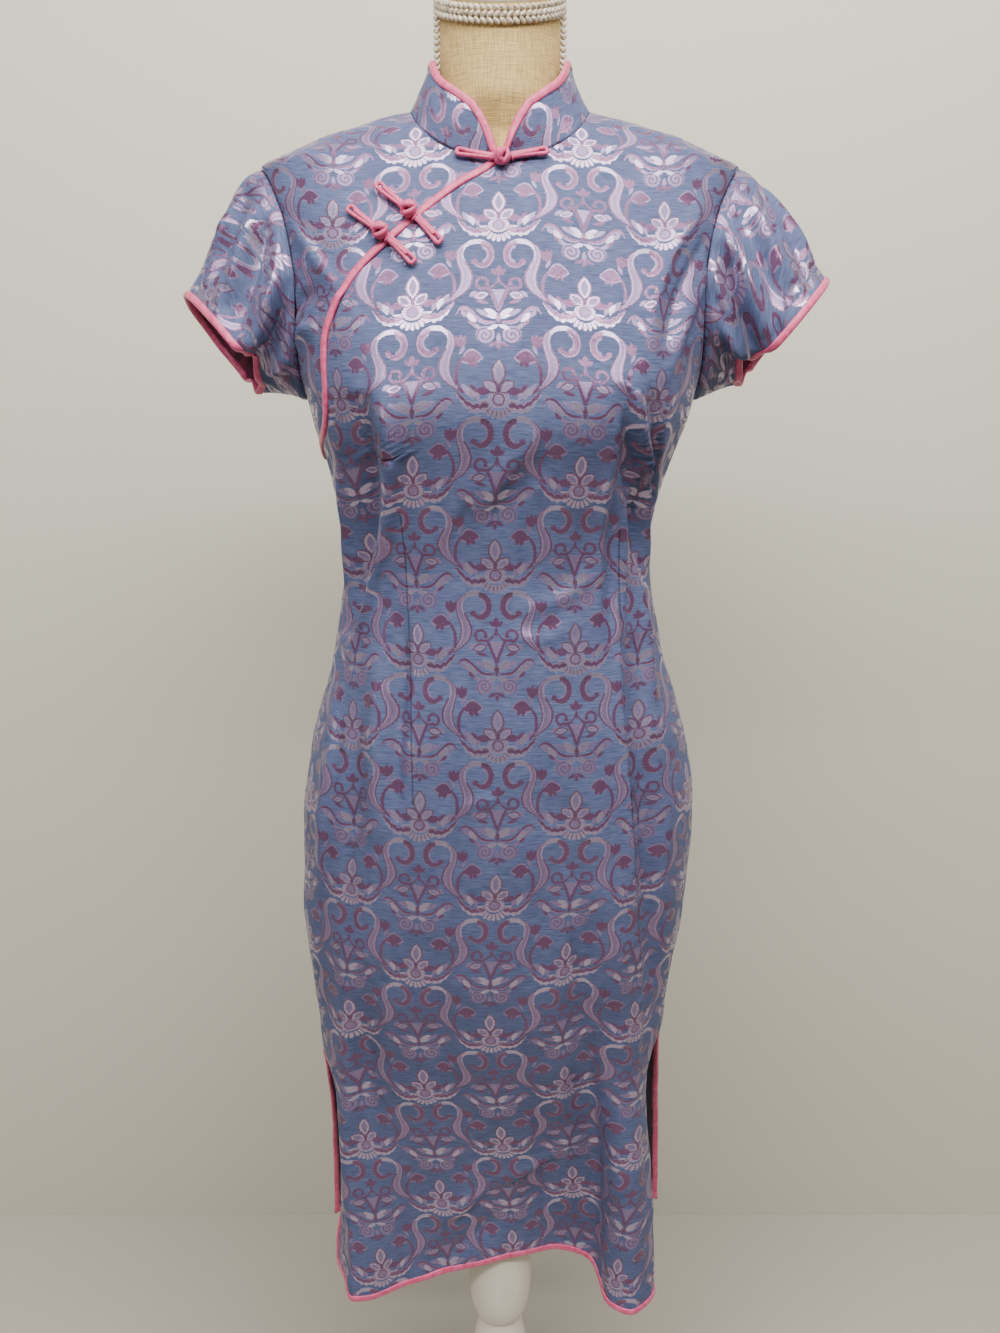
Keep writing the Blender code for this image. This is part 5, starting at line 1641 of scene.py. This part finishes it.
# each lamp: name, place, what it shines at, size, watts, colour
LAMPS = (
    ("overhead", (0.10, -0.55, 2.70), (0.0, 0.0, 1.20), (1.6, 0.80), 41.0, (1.0, 0.97, 0.93)),
    ("ceiling_row", (0.10, -1.30, 2.36), (0.0, 0.0, 1.20), (3.0, 0.18), 71.0, (1.0, 0.98, 0.95)),
    ("side_fill", (-2.2, -1.6, 1.7), (0.0, 0.0, 0.9), (1.2, 1.6), 7.5, (0.90, 0.94, 1.0)),
)
# matched to the photo: where it was taken from, how far it looks down, and its lens
CAMERA_PLACE, CAMERA_TILT, CAMERA_LENS, CAMERA_SENSOR = (0.0, -0.92, 1.12), math.radians(11.5), 28.36, 36.0


def plane(name, corners, look):
    mesh = bpy.data.meshes.new(name)
    mesh.from_pydata(corners, [], [(0, 1, 2, 3)])
    mesh.materials.append(look)
    made = bpy.data.objects.new(name, mesh)
    bpy.context.scene.collection.objects.link(made)
    return made


def area_light(name, location, target, size, power, color):
    """A rectangular lamp that shines at its target."""
    lamp = bpy.data.lights.new(name, "AREA")
    lamp.shape = "RECTANGLE"
    lamp.size, lamp.size_y = size
    lamp.energy = power
    lamp.color = color
    made = bpy.data.objects.new(name, lamp)
    made.location = location
    made.rotation_mode = "QUATERNION"
    made.rotation_quaternion = (Vector(target) - Vector(location)).to_track_quat("-Z", "Y")
    bpy.context.scene.collection.objects.link(made)
    return made


def wall_paint():
    """The wall's colour, seen from the room only, so that the wall hides nothing from behind."""
    made, tree, shader = new_material("wall_pale", Roughness=0.9, Base_Color=WALL_PAINT)
    clear = tree.nodes.new("ShaderNodeBsdfTransparent")
    facing_node = tree.nodes.new("ShaderNodeNewGeometry")
    choice = tree.nodes.new("ShaderNodeMixShader")
    output = next(n for n in tree.nodes if n.type == "OUTPUT_MATERIAL")
    tree.links.new(facing_node.outputs["Backfacing"], choice.inputs["Fac"])
    tree.links.new(shader.outputs["BSDF"], choice.inputs[1])
    tree.links.new(clear.outputs["BSDF"], choice.inputs[2])
    tree.links.new(choice.outputs["Shader"], output.inputs["Surface"])
    return made


def stage_and_light():
    left, right = -STAGE_HALF, STAGE_HALF
    floor = (left, -FLOOR_REACH), (right, -FLOOR_REACH), (right, FLOOR_REACH), (left, FLOOR_REACH)
    wall = (left, FLOOR_Z), (right, FLOOR_Z), (right, WALL_TOP), (left, WALL_TOP)
    plane("floor", [(x, y, FLOOR_Z) for x, y in floor], floor_paint())
    plane("wall", [(x, WALL_Y, z) for x, z in wall], wall_paint())
    world = bpy.data.worlds.new("soft_room")
    world.use_nodes = True
    background = world.node_tree.nodes["Background"]
    background.inputs["Color"].default_value = (*WORLD_COLOR, 1.0)
    background.inputs["Strength"].default_value = WORLD_STRENGTH
    bpy.context.scene.world = world
    for lamp in LAMPS:
        area_light(*lamp)


def camera():
    lens = bpy.data.cameras.new("camera")
    lens.lens = CAMERA_LENS
    lens.sensor_width = CAMERA_SENSOR
    lens.clip_start = 0.01
    made = bpy.data.objects.new("camera", lens)
    made.location = CAMERA_PLACE
    made.rotation_euler = (math.pi / 2 - CAMERA_TILT, 0.0, 0.0)
    bpy.context.scene.collection.objects.link(made)
    bpy.context.scene.camera = made


# ------------------------------------------------------------------ everything together
def seam_table(cut, path):
    """A dart seam's (v, u) rows in millimetres, from its (degrees, height) path, lowest first."""
    rows = [cut.at(z, math.radians(a)) * 1000 for a, z in path]
    return tuple(sorted((float(row[1]), float(row[0])) for row in rows))


# The seam of each dart as (degrees round the figure, height).
FRONT_DARTS = (
    ((-33.6, 1.075), (-32.9, 1.036), (-30.9, 0.973), (-26.9, 0.909), (-24, 0.84)),
    ((47.9, 1.06), (47.4, 1.035), (45.7, 0.97), (39.4, 0.873), (41.7, 0.768), (46.8, 0.69)),
)
BACK_DARTS = (
    ((150, 1.15), (148, 1.05), (149, 0.95), (152, 0.88)),
    ((210, 1.15), (212, 1.05), (211, 0.95), (208, 0.88)),
)


def dress(satin):
    reverse = reverse_side("brocade_reverse", WINE, NAVY)
    sleeve_reverse = reverse_side("sleeve_reverse", WINE_LIGHT, WINE)
    front_cut, back_cut = Cut("front"), Cut("back")
    # where the damask's repeat lies on each cut, in millimetres across and along
    front_look = brocade("brocade_front", 1.0, -3.0, [seam_table(front_cut, p) for p in FRONT_DARTS])
    back_look = brocade("brocade_back", 0.0, 0.0, [seam_table(back_cut, p) for p in BACK_DARTS])
    other_look = brocade("brocade_small_parts", 20.0, 12.0)

    points, uv, z = front_panel_points(front_cut)
    front = shell("front_panel_cloth", points, uv, (front_look, reverse))
    front_edge = hem_binding("front", points, z, satin)
    points, uv, z = back_panel_points(back_cut)
    back = shell("back_panel_cloth", points, uv, (back_look, reverse))
    back_edge = hem_binding("back", points, z, satin)
    points, uv = underlap_points(front_cut)
    underlap = shell("underlap_cloth", points, uv, (front_look, reverse))
    opening = crossover_binding(satin)
    right, right_edge = sleeve("right", (other_look, sleeve_reverse), satin)
    left, left_edge = sleeve("left", (other_look, sleeve_reverse), satin)
    stand, stand_edge = collar((other_look, reverse), satin)

    nodes = {
        "front_panel": front,
        "back_panel": back,
        "underlap_panel": underlap,
        "sleeve_right": right,
        "sleeve_left": left,
        "collar": stand,
        "front_hem_edging": front_edge,
        "back_hem_edging": back_edge,
        "crossover_edging": opening,
        "sleeve_edging_right": right_edge,
        "sleeve_edging_left": left_edge,
        "collar_edging": stand_edge,
    }
    fastenings = []
    for row in FROGS:
        made = frog(row, satin)
        nodes.update(zip((f"frog_{row[0]}_{part}" for part in ("knot", "bar_right", "bar_left")), made))
        fastenings += made
    for node, made in nodes.items():
        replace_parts(made, node)

    on_front = [front_edge, opening, *fastenings]


def main():
    satin = pink_satin()
    cream = painted_wood("cream_paint_worn", CREAM)
    dress(satin)
    form(linen_cloth(), cream, twisted_cord())
    turned("stand_shaft_painted", "stand_shaft", SHAFT_PROFILE, cream)
    turned("stand_bulb_painted", "stand_bulb", BULB_PROFILE, cream, soften=True)
    turned("stand_column_painted", "stand_column", COLUMN_PROFILE, cream, soften=True)
    turned("stand_base_painted", "stand_base", BASE_PROFILE, cream)
    stage_and_light()
    camera()


main()
